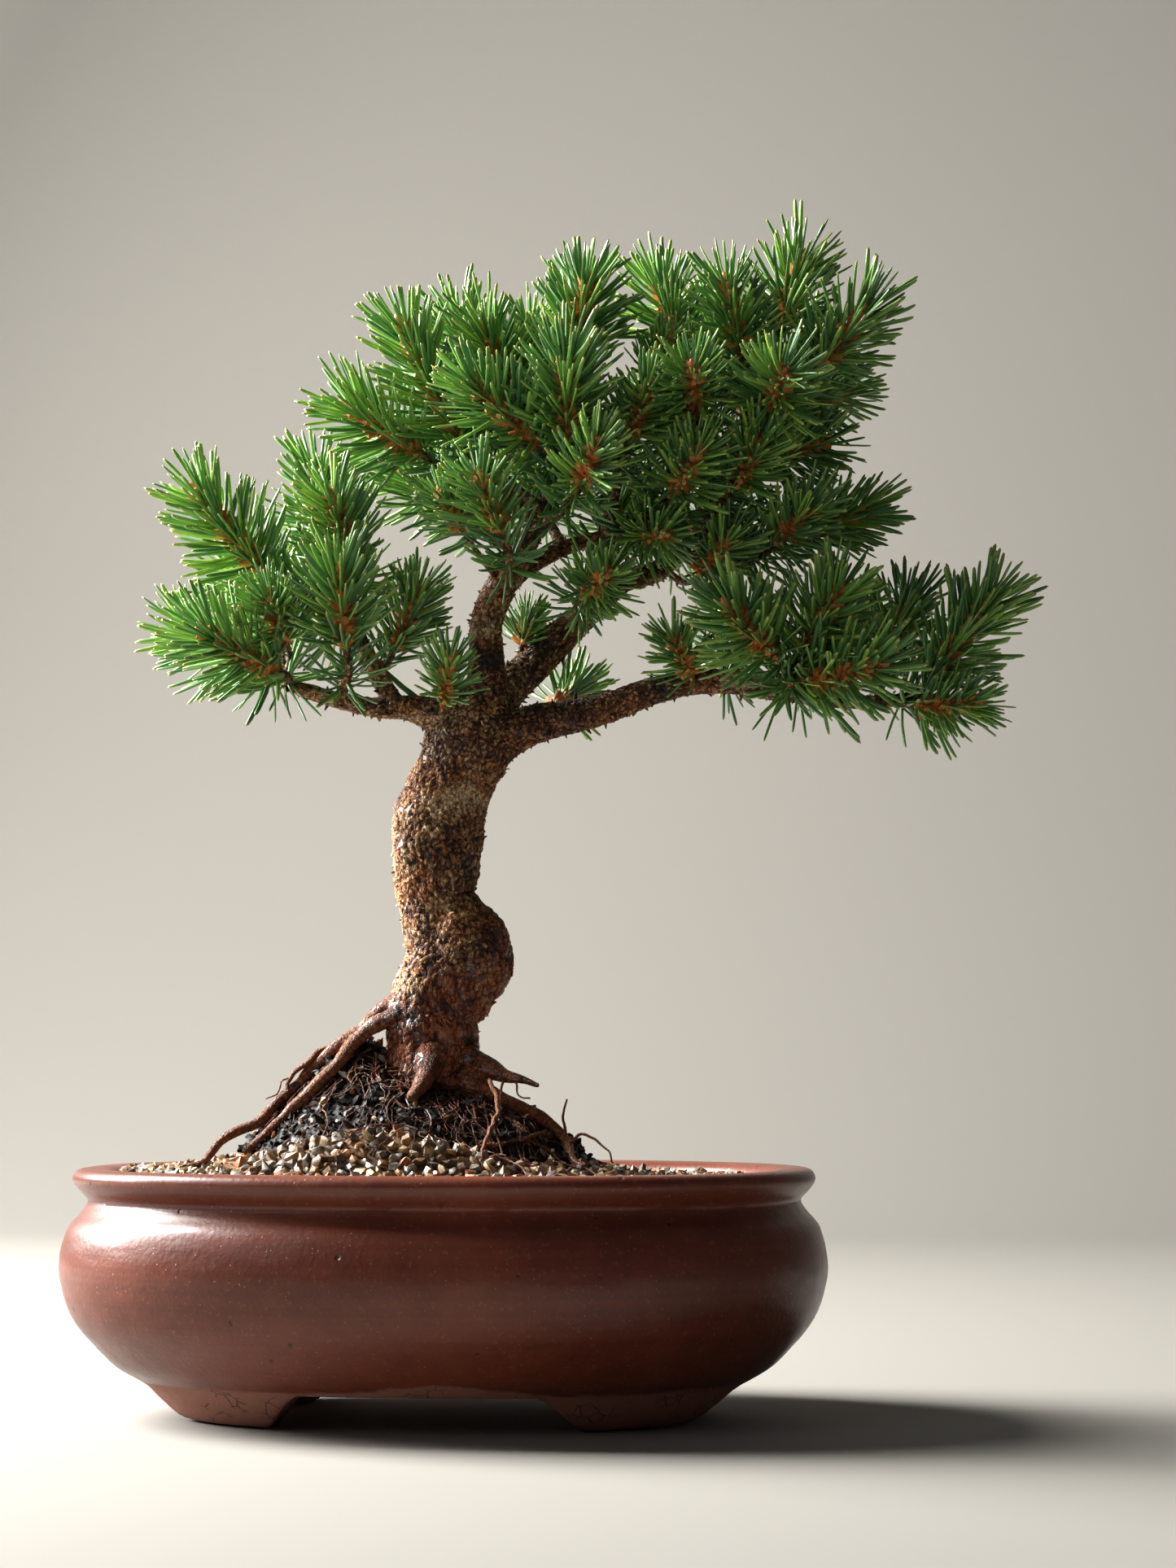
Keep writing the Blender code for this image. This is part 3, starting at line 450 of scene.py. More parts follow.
def line_mesh(name: str, lines: Sequence[Sequence[Any]], marks: dict[str, Sequence[Any]]) -> Any:
    """Makes a mesh of edges from runs of points.

    Args:
        name: The mesh's name.
        lines: Each run's points.
        marks: For each attribute, a value for each run, or one for each of the run's points.

    Returns:
        The mesh with its attributes.
    """
    bm = bmesh.new()
    for line in lines:
        verts = [bm.verts.new(point) for point in line]
        for before, after in zip(verts, verts[1:]):
            bm.edges.new((before, after))
    mesh = mesh_from(bm, name, False)
    for mark, values in marks.items():
        spread = [np.broadcast_to(value, len(line)) for value, line in zip(values, lines)]
        set_attribute(mesh, mark, np.concatenate(spread))
    return mesh


def bridge(bm: bmesh.types.BMesh, rings: Sequence[Sequence[Any]]) -> None:
    """Joins each closed ring of points to the next with faces."""
    for lower, upper in zip(rings, rings[1:]):
        for here in range(len(lower)):
            after = (here + 1) % len(lower)
            bm.faces.new((lower[here], lower[after], upper[after], upper[here]))


def shade(mesh: Any, angle: float = 180.0) -> Any:
    """Shades a mesh smooth, but for edges sharper than an angle in degrees."""
    mesh.shade_smooth()
    if angle < 180.0:
        mesh.set_sharp_from_angle(angle=math.radians(angle))
    return mesh


def variant_set(name: str, meshes: Iterable[Any]) -> Any:
    """Puts the shapes that a tree picks from in a hidden collection."""
    holder = bpy.data.collections.new(name)
    for index, mesh in enumerate(meshes):
        holder.objects.link(bpy.data.objects.new(f"{name}_{index}", mesh))
    return holder


def smooth_between(value: float, low: float, high: float) -> float:
    """Gives 0 below low, 1 above high and a smooth rise between them."""
    share = min(1.0, max(0.0, (value - low) / (high - low)))
    return share * share * (3.0 - 2.0 * share)


def fade(values: np.ndarray, start: float, end: float) -> np.ndarray:
    """Gives 0 for values at start and before it, 1 at end and past it, and a straight rise between."""
    return np.clip((values - start) / (end - start), 0.0, 1.0)


def wobble(x: float, y: float, z: float, size: float, seed: float = 0.0) -> float:
    """Gives smooth noise from -1 to 1, with lumps of about a size."""
    return noise.noise(Vector((x / size + seed, y / size - seed, z / size + 2.0 * seed)))


def curve_through(rows: Sequence[Sequence[float]], spacing: float) -> list[Row]:
    """Gives points on a smooth curve through rows of numbers whose first three are a place.

    Args:
        rows: The rows to pass through.
        spacing: About how far apart the new points are.

    Returns:
        The rows on the curve.
    """
    data = np.array(rows, dtype=float)
    padded = np.vstack((2 * data[0] - data[1], data, 2 * data[-1] - data[-2]))
    made: list[Row] = []
    for index in range(len(data) - 1):
        a, b, c, d = padded[index:index + 4]
        steps = max(1, math.ceil(np.linalg.norm((c - b)[:3]) / spacing))
        for step in range(steps):
            t = step / steps
            made.append(tuple(0.5 * (2 * b + (c - a) * t + (2 * a - 5 * b + 4 * c - d) * t * t
                                     + (3 * b - a - 3 * c + d) * t ** 3)))
    made.append(tuple(data[-1]))
    return made


class Studio:
    """The plain floor and backdrop, the soft lights and the camera."""

    def __init__(self, centre: Vector) -> None:
        """Starts the studio round the pot's centre."""
        self.centre = centre

    def build(self) -> None:
        """Sets up everything that isn't part of the object."""
        self.add_backdrop()
        self.add_lights()
        self.add_camera()

    def add_backdrop(self) -> None:
        """Adds the pale floor, which curves up into a pale wall."""
        near, wall, height, bend, steps = -2.2, 1.5, 2.6, 0.5, 12
        profile = [(near, 0.0), (wall - bend, 0.0)]
        for step in range(1, steps + 1):
            angle = math.pi / 2 * step / steps
            profile.append((wall - bend + bend * math.sin(angle), bend * (1.0 - math.cos(angle))))
        profile.append((wall, height))
        bm = bmesh.new()
        rows = []
        for y, z in profile:
            rows.append([bm.verts.new((x, y, z - 0.0002)) for x in (-3.0, 3.0)])
        for lower, upper in zip(rows, rows[1:]):
            bm.faces.new((lower[0], lower[1], upper[1], upper[0]))
        sweep = linked("floor_sweep", shade(mesh_from(bm, "floor_sweep", False)))
        paint = Shading("pale_wall")
        cloud = paint.noise(paint.place(), 1.3, 2.0)
        tone = paint.blend(cloud, (0.252, 0.239, 0.215), (0.273, 0.26, 0.234))
        sweep.data.materials.append(paint.surface({"Base Color": tone, "Roughness": 0.9}))

    def add_lamp(self, name: str, place: Triple, size: tuple[float, float],
                 aim: Triple, power: float, colour: Triple) -> None:
        """Adds one soft area lamp.

        Args:
            name: The lamp's name.
            place: Where it stands, from the pot's centre.
            size: Its width and height.
            aim: Where it points, from the pot's centre.
            power: Its power in watts.
            colour: Its colour.
        """
        lamp = bpy.data.lights.new(name, "AREA")
        lamp.shape = "RECTANGLE"
        lamp.size, lamp.size_y = size
        lamp.energy = power
        lamp.color = colour
        obj = linked(name, lamp)
        obj.location = self.centre + Vector(place)
        target = self.centre + Vector(aim)
        obj.rotation_euler = (target - obj.location).to_track_quat("-Z", "Y").to_euler()

    def add_lights(self) -> None:
        """Adds the window-like key from the left, a weak front fill and a dim room."""
        tree, wall = (0.0, 0.0, 0.16), (-0.65, 1.5, 0.85)
        self.add_lamp("window", (-0.96, 0.2, 0.72), (0.6, 0.85), tree, 93.0, (1.0, 0.985, 0.96))
        self.add_lamp("front_fill", (-1.1, -1.3, 0.9), (0.8, 0.8), tree, 2.2, (1.0, 0.98, 0.95))
        self.add_lamp("wall_wash", (-1.2, 0.45, 0.98), (0.8, 0.8), wall, 20.0, (1.0, 0.985, 0.96))
        bpy.context.scene.view_settings.view_transform = "Standard"
        world = bpy.data.worlds.new("room")
        world.use_nodes = True
        back = world.node_tree.nodes["Background"]
        back.inputs["Color"].default_value = (0.9, 0.92, 1.0, 1.0)
        back.inputs["Strength"].default_value = 0.07
        bpy.context.scene.world = world

    def add_camera(self) -> None:
        """Adds the camera: near the object's height, a little to the right, looking level."""
        lens = bpy.data.cameras.new("view")
        lens.lens = 72.39
        lens.sensor_width = 36.0
        lens.clip_end = 20.0
        camera = linked("view", lens)
        turn, rise = math.radians(5.5), math.radians(5.0)
        camera.location = self.centre + Vector((0.1406, -0.9911, 0.1106))
        look = Vector((-math.sin(turn) * math.cos(rise), math.cos(turn) * math.cos(rise), math.sin(rise)))
        camera.rotation_euler = look.to_track_quat("-Z", "Y").to_euler()
        bpy.context.scene.camera = camera


# ---- finishes ----
@dataclass(frozen=True)
class GlazeFinish:
    """Satin red-brown glaze that stops above the feet, where the clay is bare."""

    body: Triple = (0.15, 0.036, 0.018)
    deep: Triple = (0.092, 0.019, 0.009)
    speck: Triple = (0.34, 0.17, 0.11)
    clay: Triple = (0.35, 0.15, 0.108)
    clay_dark: Triple = (0.2, 0.08, 0.055)

    def build(self, centre: Vector) -> Any:
        """Makes the material for a pot at a centre."""
        paint = Shading("red_brown_glaze")
        place = paint.place()
        across, deep, height = (place_part(paint, place, part) for part in "XYZ")
        broad = paint.noise(place, 16.0, 3.0)
        soft = paint.noise(place, 110.0, 3.0)
        peel = paint.noise(place, 620.0, 2.0, 0.5)
        lines = paint.noise(paint.vector("MULTIPLY", place, (4.0, 4.0, 420.0)), 1.0, 2.0, 0.6)
        cloud = paint.step(broad * 0.6 + lines * 0.25 + soft * 0.25, 0.4, 0.72)
        colour = paint.blend(cloud, self.body, self.deep)
        dots = paint.cells(place, 640.0)
        pick_dot = paint.add("ShaderNodeSeparateColor", {}, {"Color": dots.out("Color")}, "Red")
        speck = paint.step(dots, 0.22, 0.12) * paint.step(pick_dot, 0.72, 0.86)
        pale = paint.step(peel, 0.6, 0.74) * 0.16
        colour = paint.blend(speck * 0.38 + pale, colour, self.speck)
        pits = paint.cells(place, 150.0)
        pick_pit = paint.add("ShaderNodeSeparateColor", {}, {"Color": pits.out("Color")}, "Green")
        pit = paint.step(pits, 0.16, 0.06) * paint.step(pick_pit, 0.8, 0.84)
        # The glaze ends in a wavering line above the feet, higher near the middle of the front.
        off_middle = (across - (centre.x + 0.008)) / 0.02
        in_front = paint.step(deep, centre.y, centre.y - 0.03)
        patch = paint.math("EXPONENT", off_middle * off_middle * -1.0) * in_front
        edge = 0.0126 + patch * 0.0034 + (soft - 0.5) * 0.004
        bare = paint.step(height - edge, 0.0006, -0.0006)
        grain = paint.noise(place, 900.0, 4.0, 0.7)
        cracks = paint.cells(place, 210.0, "DISTANCE_TO_EDGE")
        crack = paint.step(cracks, 0.05, 0.0) * paint.step(soft, 0.5, 0.6)
        clay = paint.blend(grain * 0.7 + broad * 0.3, self.clay, self.clay_dark)
        clay = paint.blend(crack * 0.7, clay, (0.05, 0.022, 0.016))
        colour = paint.blend(bare, paint.blend(pit * 0.7, colour, (0.03, 0.01, 0.008)), clay)
        relief = peel * 0.75 + soft * 0.7 + lines * 0.25 - pit * 2.0 + speck * 0.4
        relief = relief * (1.0 - bare) + (grain * 1.6 - crack * 2.0 - 0.6) * bare
        return paint.surface({
            "Base Color": colour,
            "Roughness": 0.4 + (soft - 0.5) * 0.18 + bare * 0.36,
            "Coat Weight": (1.0 - bare) * (0.16 + (broad - 0.5) * 0.3),
            "Coat Roughness": 0.14,
            "Specular IOR Level": 0.3,
            "Normal": paint.bump(relief, 0.00016),
        })


def place_part(paint: Nodes, place: Term, part: str) -> Term:
    """Gives the X, Y or Z of a place."""
    return paint.add("ShaderNodeSeparateXYZ", {}, {"Vector": place}, part)


@dataclass(frozen=True)
class BarkFinish:
    """Flaky tan and brown bark, wet and red-brown low on the trunk, orange on the roots."""

    crack: Triple = (0.012, 0.007, 0.005)
    brown: Triple = (0.085, 0.034, 0.014)
    tan: Triple = (0.32, 0.165, 0.068)
    pale: Triple = (0.66, 0.49, 0.29)

    def build(self) -> Any:
        """Makes the material."""
        paint = Shading("flaky_bark")
        place = paint.place()
        grain = paint.attribute("grain", "Vector")
        relief = paint.attribute("relief")
        wet = paint.attribute("wet")
        root = paint.attribute("root")
        bare = paint.attribute("bare")
        broad = paint.noise(place, 60.0, 3.0)
        plate = paint.cells(grain, 420.0, "F1", "Color")
        tint = paint.add("ShaderNodeSeparateColor", {}, {"Color": plate}, "Red")
        fine = paint.noise(grain, 900.0, 4.0, 0.65)
        chips = paint.cells(grain, 1100.0, "DISTANCE_TO_EDGE")
        level = (relief - 0.5) * 0.8 + 0.28 + tint * 0.16 + fine * 0.42 + (broad - 0.5) * 0.9
        dry = paint.ramp(level, ((0.3, self.crack), (0.48, self.brown), (0.64, self.tan), (0.84, self.pale)))
        rust = paint.ramp(level, ((0.3, self.crack), (0.48, (0.095, 0.028, 0.009)),
                                  (0.66, (0.33, 0.125, 0.038)), (0.86, (0.58, 0.31, 0.13))))
        dry = paint.blend(paint.step(paint.noise(place, 75.0, 2.0), 0.44, 0.58), dry, rust)
        soaked = paint.ramp(level, ((0.24, (0.006, 0.003, 0.002)), (0.44, (0.075, 0.016, 0.006)),
                                    (0.64, (0.28, 0.075, 0.022)), (0.9, (0.42, 0.15, 0.055))))
        sinew = paint.ramp(fine * 0.6 + broad * 0.4,
                           ((0.25, (0.045, 0.014, 0.006)), (0.5, (0.23, 0.075, 0.024)),
                            (0.75, (0.4, 0.17, 0.065))))
        bare_wood_and_highlight = paint.ramp(fine * 0.7 + tint * 0.4,
                              ((0.25, (0.22, 0.11, 0.05)), (0.75, (0.78, 0.58, 0.36))))
        # wet is real wetness, except on the burl's right side, where the soaked colour is painted shade.
        colour = paint.blend(wet, dry, soaked)
        colour = paint.blend(root, colour, sinew)
        # bare marks stripped wood on the right limb, and a painted highlight along the trunk's left edge.
        colour = paint.blend(bare, colour, bare_wood_and_highlight)
        crevice = paint.step(chips, 0.1, 0.0) * 0.55 * (1.0 - root)
        colour = paint.blend(crevice, colour, self.crack)
        film = paint.noise(place, 230.0, 3.0)
        damp = 0.55 * paint.step(film, 0.52, 0.66) * (1.0 - root)
        shine = (wet * paint.step(film, 0.42, 0.62) + damp * (1.0 - wet)) * (1.0 - root * 0.85)
        height = fine * 1.0 + paint.step(chips, 0.0, 0.25) * 0.5 + tint * 0.5
        return paint.surface({
            "Base Color": colour,
            "Roughness": 0.76 - shine * 0.42 - root * 0.1 + (fine - 0.5) * 0.2,
            "Coat Weight": shine * 0.85,
            "Coat Roughness": 0.16,
            "Specular IOR Level": 0.4,
            "Normal": paint.bump(height, 0.0007, 0.9),
        })


@dataclass(frozen=True)
class NeedleFinish:
    """Waxy green needles: yellow-green edges and tips, a darker bluish middle."""

    steps: int = 16

    def build(self) -> Any:
        """Makes the material, which reads only the needle's own map."""
        paint = Shading("waxy_needle")
        spot = paint.add("ShaderNodeUVMap", {"uv_map": BAKE_MAP})
        along = place_part(paint, spot, "X")
        row = place_part(paint, spot, "Y") * float(self.steps)
        tint = paint.math("FLOOR", row) / float(self.steps)
        across = paint.math("FRACT", row)
        side = paint.math("ABSOLUTE", across - 0.5) * 2.0
        streak = paint.noise(paint.xyz(along * 3.0, across * 9.0, tint * 40.0), 1.0, 3.0, 0.6)
        dark = paint.ramp(tint, ((0.0, (0.051, 0.158, 0.051)), (0.3, (0.101, 0.272, 0.058)),
                                 (0.62, (0.2, 0.405, 0.066)), (1.0, (0.33, 0.54, 0.08))))
        edge = paint.ramp(tint, ((0.0, (0.2, 0.43, 0.115)), (0.45, (0.41, 0.66, 0.125)),
                                 (1.0, (0.64, 0.78, 0.16))))
        colour = paint.blend(paint.step(side + (streak - 0.5) * 0.5, 0.45, 1.0) * 0.85, dark, edge)
        base = paint.step(along, 0.16, 0.0)
        colour = paint.blend(base * 0.75, colour, (0.13, 0.15, 0.03))
        tip = paint.step(along, 0.86, 0.99)
        tip_tone = paint.ramp(tint, ((0.0, (0.33, 0.4, 0.08)), (0.78, (0.42, 0.47, 0.1)),
                                     (0.9, (0.52, 0.3, 0.06)), (1.0, (0.48, 0.23, 0.04))))
        colour = paint.blend(tip * 0.85, colour, tip_tone)
        return paint.surface({
            "Base Color": colour,
            "Roughness": 0.36 + (streak - 0.5) * 0.25,
            "Specular IOR Level": 0.6,
        })


@dataclass(frozen=True)
class ScaleFinish:
    """Orange-brown papery scales of shoot stems, sheaths and resinous buds."""

    def build(self) -> Any:
        """Makes the material: `part` runs from 0 on stems to 1 on buds."""
        paint = Shading("papery_scale")
        place = paint.place()
        part = paint.attribute("part")
        tint = paint.attribute("tint")
        fine = paint.noise(place, 700.0, 3.0, 0.6)
        level = fine * 0.6 + tint * 0.4
        stem = paint.ramp(level, ((0.2, (0.26, 0.08, 0.022)), (0.48, (0.72, 0.265, 0.062)),
                                  (0.8, (0.88, 0.5, 0.17))))
        bud = paint.ramp(level, ((0.22, (0.23, 0.045, 0.015)), (0.48, (0.6, 0.15, 0.038)),
                                 (0.8, (0.8, 0.34, 0.11))))
        return paint.surface({
            "Base Color": paint.blend(part, stem, bud),
            "Roughness": 0.62 - part * 0.22,
            "Coat Weight": part * 0.35,
            "Coat Roughness": 0.2,
            "Normal": paint.bump(fine, 0.0002),
        })


@dataclass(frozen=True)
class SoilFinish:
    """Damp, nearly black soil with a few pale and brown crumbs."""

    def build(self, name: str, wetness: float) -> Any:
        """Makes the material.

        Args:
            name: Its name.
            wetness: How far a film of water covers it, 0 to 1.

        Returns:
            The material, which reads the attribute `tint`.
        """
        paint = Shading(name)
        place = paint.place()
        tint = paint.attribute("tint")
        fine = paint.noise(place, 800.0, 4.0, 0.7)
        mid = paint.noise(place, 240.0, 3.0, 0.6)
        dark = paint.ramp(fine * 0.5 + mid * 0.5,
                          ((0.3, (0.0025, 0.0016, 0.0012)), (0.55, (0.01, 0.0065, 0.0048)),
                           (0.8, (0.04, 0.026, 0.018))))
        odd = paint.ramp(tint, ((0.0, (0.012, 0.009, 0.008)), (0.86, (0.03, 0.02, 0.015)),
                                (0.91, (0.1, 0.038, 0.016)), (0.97, (0.2, 0.16, 0.12)),
                                (1.0, (0.52, 0.47, 0.4))))
        colour = paint.blend(paint.step(tint, 0.86, 0.9), dark, odd)
        shine = paint.step(mid, 0.4, 0.6)
        return paint.surface({
            "Base Color": colour,
            "Roughness": 0.84 - shine * 0.35 * wetness,
            "Coat Weight": shine * wetness * 0.1,
            "Coat Roughness": 0.2,
            "Specular IOR Level": 0.25,
            "Normal": paint.bump(fine + mid * 1.5, 0.0005),
        })


@dataclass(frozen=True)
class GravelFinish:
    """Wet river grains in ochre, tan, cream, orange, grey and near black."""

    def build(self, depth: float = 1.0) -> Any:
        """Makes the material; below a depth of 1 it paints shade that darkens the stones and bed that lie
        deeper.
        """
        paint = Shading("washed_gravel" if depth >= 1.0 else "sunken_gravel")
        place = paint.place()
        tint = paint.attribute("tint")
        tones = ((0.0, (0.33, 0.15, 0.045)), (0.13, (0.44, 0.26, 0.1)), (0.25, (0.16, 0.08, 0.034)),
                 (0.36, (0.54, 0.4, 0.22)), (0.46, (0.4, 0.12, 0.028)), (0.56, (0.17, 0.14, 0.11)),
                 (0.65, (0.43, 0.28, 0.13)), (0.75, (0.05, 0.036, 0.028)), (0.85, (0.3, 0.28, 0.24)),
                 (0.92, (0.64, 0.54, 0.39)), (0.96, (0.11, 0.048, 0.022)))
        # A depth below 1 is painted shade: it darkens every tone, the film and the glints.
        tones = tuple((at, tuple(part * 0.85 * depth for part in tone)) for at, tone in tones)
        colour = paint.ramp(tint, tones, "CONSTANT")
        vein = paint.noise(place, 420.0, 4.0, 0.65, 0.6)
        fine = paint.noise(place, 1900.0, 2.0, 0.6)
        film = (0.11 * depth, 0.068 * depth, 0.034 * depth)
        glint = (0.6 * depth, 0.5 * depth, 0.36 * depth)
        colour = paint.blend(paint.step(vein, 0.3, 0.72) * 0.55, colour, film)
        colour = paint.blend(paint.step(fine, 0.58, 0.72) * 0.3, colour, glint)
        return paint.surface({
            "Base Color": colour,
            "Roughness": 0.52 + (vein - 0.5) * 0.3,
            "Coat Weight": paint.step(vein, 0.44, 0.62, 0.03, 0.45),
            "Coat Roughness": 0.12,
            "Normal": paint.bump(vein + fine * 0.4, 0.00025),
        })


@dataclass(frozen=True)
class HardwareFinish:
    """The drain screens' plastic and their clips' wire."""

    def plastic(self) -> Any:
        """Makes the moulded plastic."""
        paint = Shading("screen_plastic")
        haze = paint.noise(paint.place(), 300.0, 3.0)
        tone = paint.blend(haze, (0.02, 0.03, 0.026), (0.045, 0.058, 0.052))
        return paint.surface({"Base Color": tone, "Roughness": 0.45 + haze * 0.2,
                              "Normal": paint.bump(paint.noise(paint.place(), 1500.0), 0.00005)})

    def wire(self) -> Any:
        """Makes the dull aluminium."""
        paint = Shading("dull_wire")
        haze = paint.noise(paint.place(), 700.0, 3.0)
        tone = paint.blend(haze, (0.42, 0.4, 0.38), (0.62, 0.6, 0.57))
        return paint.surface({"Base Color": tone, "Roughness": 0.3 + haze * 0.25, "Metallic": 1.0,
                              "Normal": paint.bump(haze, 0.00004)})


# ---- pieces ----
class Bench:
    """Where finished pieces are put: it knows where the frame holds the pot."""

    def __init__(self) -> None:
        """Finds the middle of the pot's plan in the frame."""
        low, high = (Vector(corner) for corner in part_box("pot"))
        self.centre = Vector(((low.x + high.x) / 2, (low.y + high.y) / 2, 0.0))

    def add(self, name: str, mesh: Any, slot: Slot, stands_for: Sequence[str] = ()) -> Any:
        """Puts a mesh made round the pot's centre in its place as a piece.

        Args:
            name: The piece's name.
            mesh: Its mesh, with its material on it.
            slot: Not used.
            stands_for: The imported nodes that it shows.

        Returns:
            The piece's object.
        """
        mesh.transform(Matrix.Translation(self.centre))
        mesh.name = name
        obj = linked(name, mesh)
        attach(obj, BODY)
        if stands_for:
            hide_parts(*stands_for)
        LOG.info("%s: %d faces", name, len(mesh.polygons))
        return obj


@dataclass
class Pot:
    """The oval pot: a rolled rim, a round belly, four soft feet and two drain holes."""

    half_length: float = 0.12
    half_depth: float = 0.0886
    oval_power: float = 2.3
    columns: int = 288
    fineness: float = 0.0014
    drain_x: float = 0.045
    drain_radius: float = 0.008
    front_gate: tuple[tuple[float, float], ...] = ((0.036, 0.0116), (0.04, 0.0085), (0.049, -0.002))
    side_gate: tuple[tuple[float, float], ...] = ((0.012, 0.0116), (0.016, 0.0085), (0.021, -0.002))
    foot: tuple[tuple[float, float], ...] = (
        (0.053, 0.0114), (0.052, 0.0), (0.0405, 0.0), (0.0362, 0.0014), (0.03, 0.0072),
        (0.0262, 0.0108))
    belly: tuple[tuple[float, float], ...] = (
        (0.0173, 0.0162), (0.0109, 0.0226), (0.0049, 0.0298), (0.0013, 0.038), (0.0, 0.048),
        (0.0022, 0.0582), (0.0066, 0.0638))
    rim: tuple[tuple[float, float], ...] = (
        (0.0085, 0.0672), (0.006, 0.07), (0.0037, 0.0735), (0.005, 0.0763), (0.009, 0.077),
        (0.015, 0.0764), (0.0176, 0.074))
    inside: tuple[tuple[float, float], ...] = (
        (0.018, 0.07), (0.015, 0.063), (0.011, 0.056), (0.008, 0.046), (0.0098, 0.036),
        (0.015, 0.0265), (0.029, 0.0173))

    def plan_point(self, angle: float, inset: float) -> tuple[float, float]:
        """Gives a point of the oval plan, set in from the belly."""
        across = math.copysign(abs(math.cos(angle)) ** (2.0 / self.oval_power), math.cos(angle))
        deep = math.copysign(abs(math.sin(angle)) ** (2.0 / self.oval_power), math.sin(angle))
        return (self.half_length - inset) * across, (self.half_depth - inset) * deep

    def inner_inset(self, height: float) -> float:
        """Gives the inset of the inner wall at a height."""
        wall = self.inside[::-1]
        return float(np.interp(height, [z for _, z in wall], [inset for inset, _ in wall]))

    def gate_height(self, distance: float, gate: tuple[tuple[float, float], ...]) -> float:
        """Gives how high a gap between feet reaches at a distance from its middle."""
        return float(np.interp(distance, [at for at, _ in gate], [height for _, height in gate]))

    def profile(self) -> list[tuple[float, float]]:
        """Gives the wall's whole section as (inset, height), from under the feet to the floor."""
        under = [(inset, height, 0.0) for inset, height in self.foot[:2]]
        wall = self.foot[2:] + self.belly + self.rim + self.inside
        outer = [(inset, height, 0.0) for inset, height in wall]
        points = curve_through(under, self.fineness)
        points += curve_through(outer, self.fineness)
        return [(inset, max(0.0, height)) for inset, height, _ in points]

    def build(self, bench: Bench) -> None:
        """Lofts the pot, drills it and glazes it."""
        angles = []
        for column in range(self.columns):
            turn = 2.0 * math.pi * column / self.columns
            # The oval's own angle crowds points at its four flats, so it is evened out.
            angles.append(turn - 0.16 * math.sin(4.0 * turn) / 4.0)
        bm = bmesh.new()
        rings = []
        for inset, height in self.profile():
            ring = []
            for angle in angles:
                x, y = self.plan_point(angle, inset)
                z = height
                if z < self.front_gate[0][1]:
                    z = max(z, self.gate_height(abs(x), self.front_gate),
                            self.gate_height(abs(y), self.side_gate))
                swell = (0.00022 * wobble(x, y, z * 2.2, 0.035, 3.1)
                         + 0.0001 * wobble(x, y, z * 5.0, 0.012, 7.7))
                reach = 1.0 + swell / self.half_depth * smooth_between(height, 0.002, 0.012)
                ring.append(bm.verts.new((x * reach, y * reach, z)))
            rings.append(ring)
        bridge(bm, rings)
        bm.faces.new(rings[0])
        bm.faces.new(rings[-1])
        mesh = mesh_from(bm, "pot")
        mesh.materials.append(GlazeFinish().build(bench.centre))
        mesh = self.drilled(mesh)
        bench.add("glazed_pot", shade(mesh, 42.0), Slot.GLAZE, ("pot",))

    def drilled(self, mesh: Any) -> Any:
        """Gives the mesh with its drain holes cut."""
        body = linked("undrilled", mesh)
        drills = []
        for x in (-self.drain_x, self.drain_x):
            bm = bmesh.new()
            bmesh.ops.create_cone(bm, cap_ends=True, segments=40, radius1=self.drain_radius,
                                  radius2=self.drain_radius, depth=0.03)
            bmesh.ops.translate(bm, vec=(x, 0.0, 0.0155), verts=bm.verts)
            drill = linked("drill", mesh_from(bm, "drill"))
            cut = body.modifiers.new("cut", "BOOLEAN")
            cut.operation = "DIFFERENCE"
            cut.solver = "EXACT"
            cut.object = drill
            drills.append(drill)
        made = evaluated_mesh(body)
        for obj in (body, *drills):
            bpy.data.objects.remove(obj, do_unlink=True)
        return made


@dataclass
class Ground:
    """The lie of what fills the pot: a mound of root soil and gravel banked round it."""

    pot: Pot
    gravel_edge: float = 0.0745
    tilt: float = -0.016
    centre: tuple[float, float] = (-0.014, -0.003)
    left: float = 0.06
    right: float = 0.07
    deep: float = 0.047
    base: float = 0.068
    rise: float = 0.034
    power: float = 2.6
    collar: tuple[float, float, float, float, float] = (-0.028, -0.002, 0.02, 0.018, 0.014)
    heap: tuple[float, float, float, float, float] = (-0.014, -0.036, 0.03, 0.014, 0.0105)
    skirt: float = 0.0045

    def share(self, x: float, y: float) -> float:
        """Gives how far out a point of the plan lies: 0 at the mound's middle, 1 at its foot."""
        along = x - self.centre[0]
        half = self.right if along > 0.0 else self.left
        return math.hypot(along / half, (y - self.centre[1]) / self.deep)

    def bump(self, x: float, y: float, shape: tuple[float, float, float, float, float]) -> float:
        """Gives the height of a round bump of (x, y, half-length, half-depth, rise)."""
        return shape[4] * math.exp(-((x - shape[0]) / shape[2]) ** 2 - ((y - shape[1]) / shape[3]) ** 2)

    def mound(self, x: float, y: float) -> float:
        """Gives the height of the root mound."""
        crown = 1.0 - min(1.0, self.share(x, y)) ** self.power
        return self.base + self.rise * crown + self.bump(x, y, self.collar)

    def gravel(self, x: float, y: float) -> float:
        """Gives the height of the gravel."""
        past = max(0.0, self.share(x, y) - 0.8) / 0.28
        banked = self.skirt * math.exp(-past * past) + self.bump(x, y, self.heap)
        return self.gravel_edge + self.tilt * x + banked

    def height(self, x: float, y: float) -> float:
        """Gives the height of the ground."""
        return max(self.mound(x, y), self.gravel(x, y))

    def downhill(self, x: float, y: float) -> Vector:
        """Gives the direction in which the ground falls."""
        step = 0.002
        return Vector((self.height(x - step, y) - self.height(x + step, y),
                       self.height(x, y - step) - self.height(x, y + step))) / (2 * step)


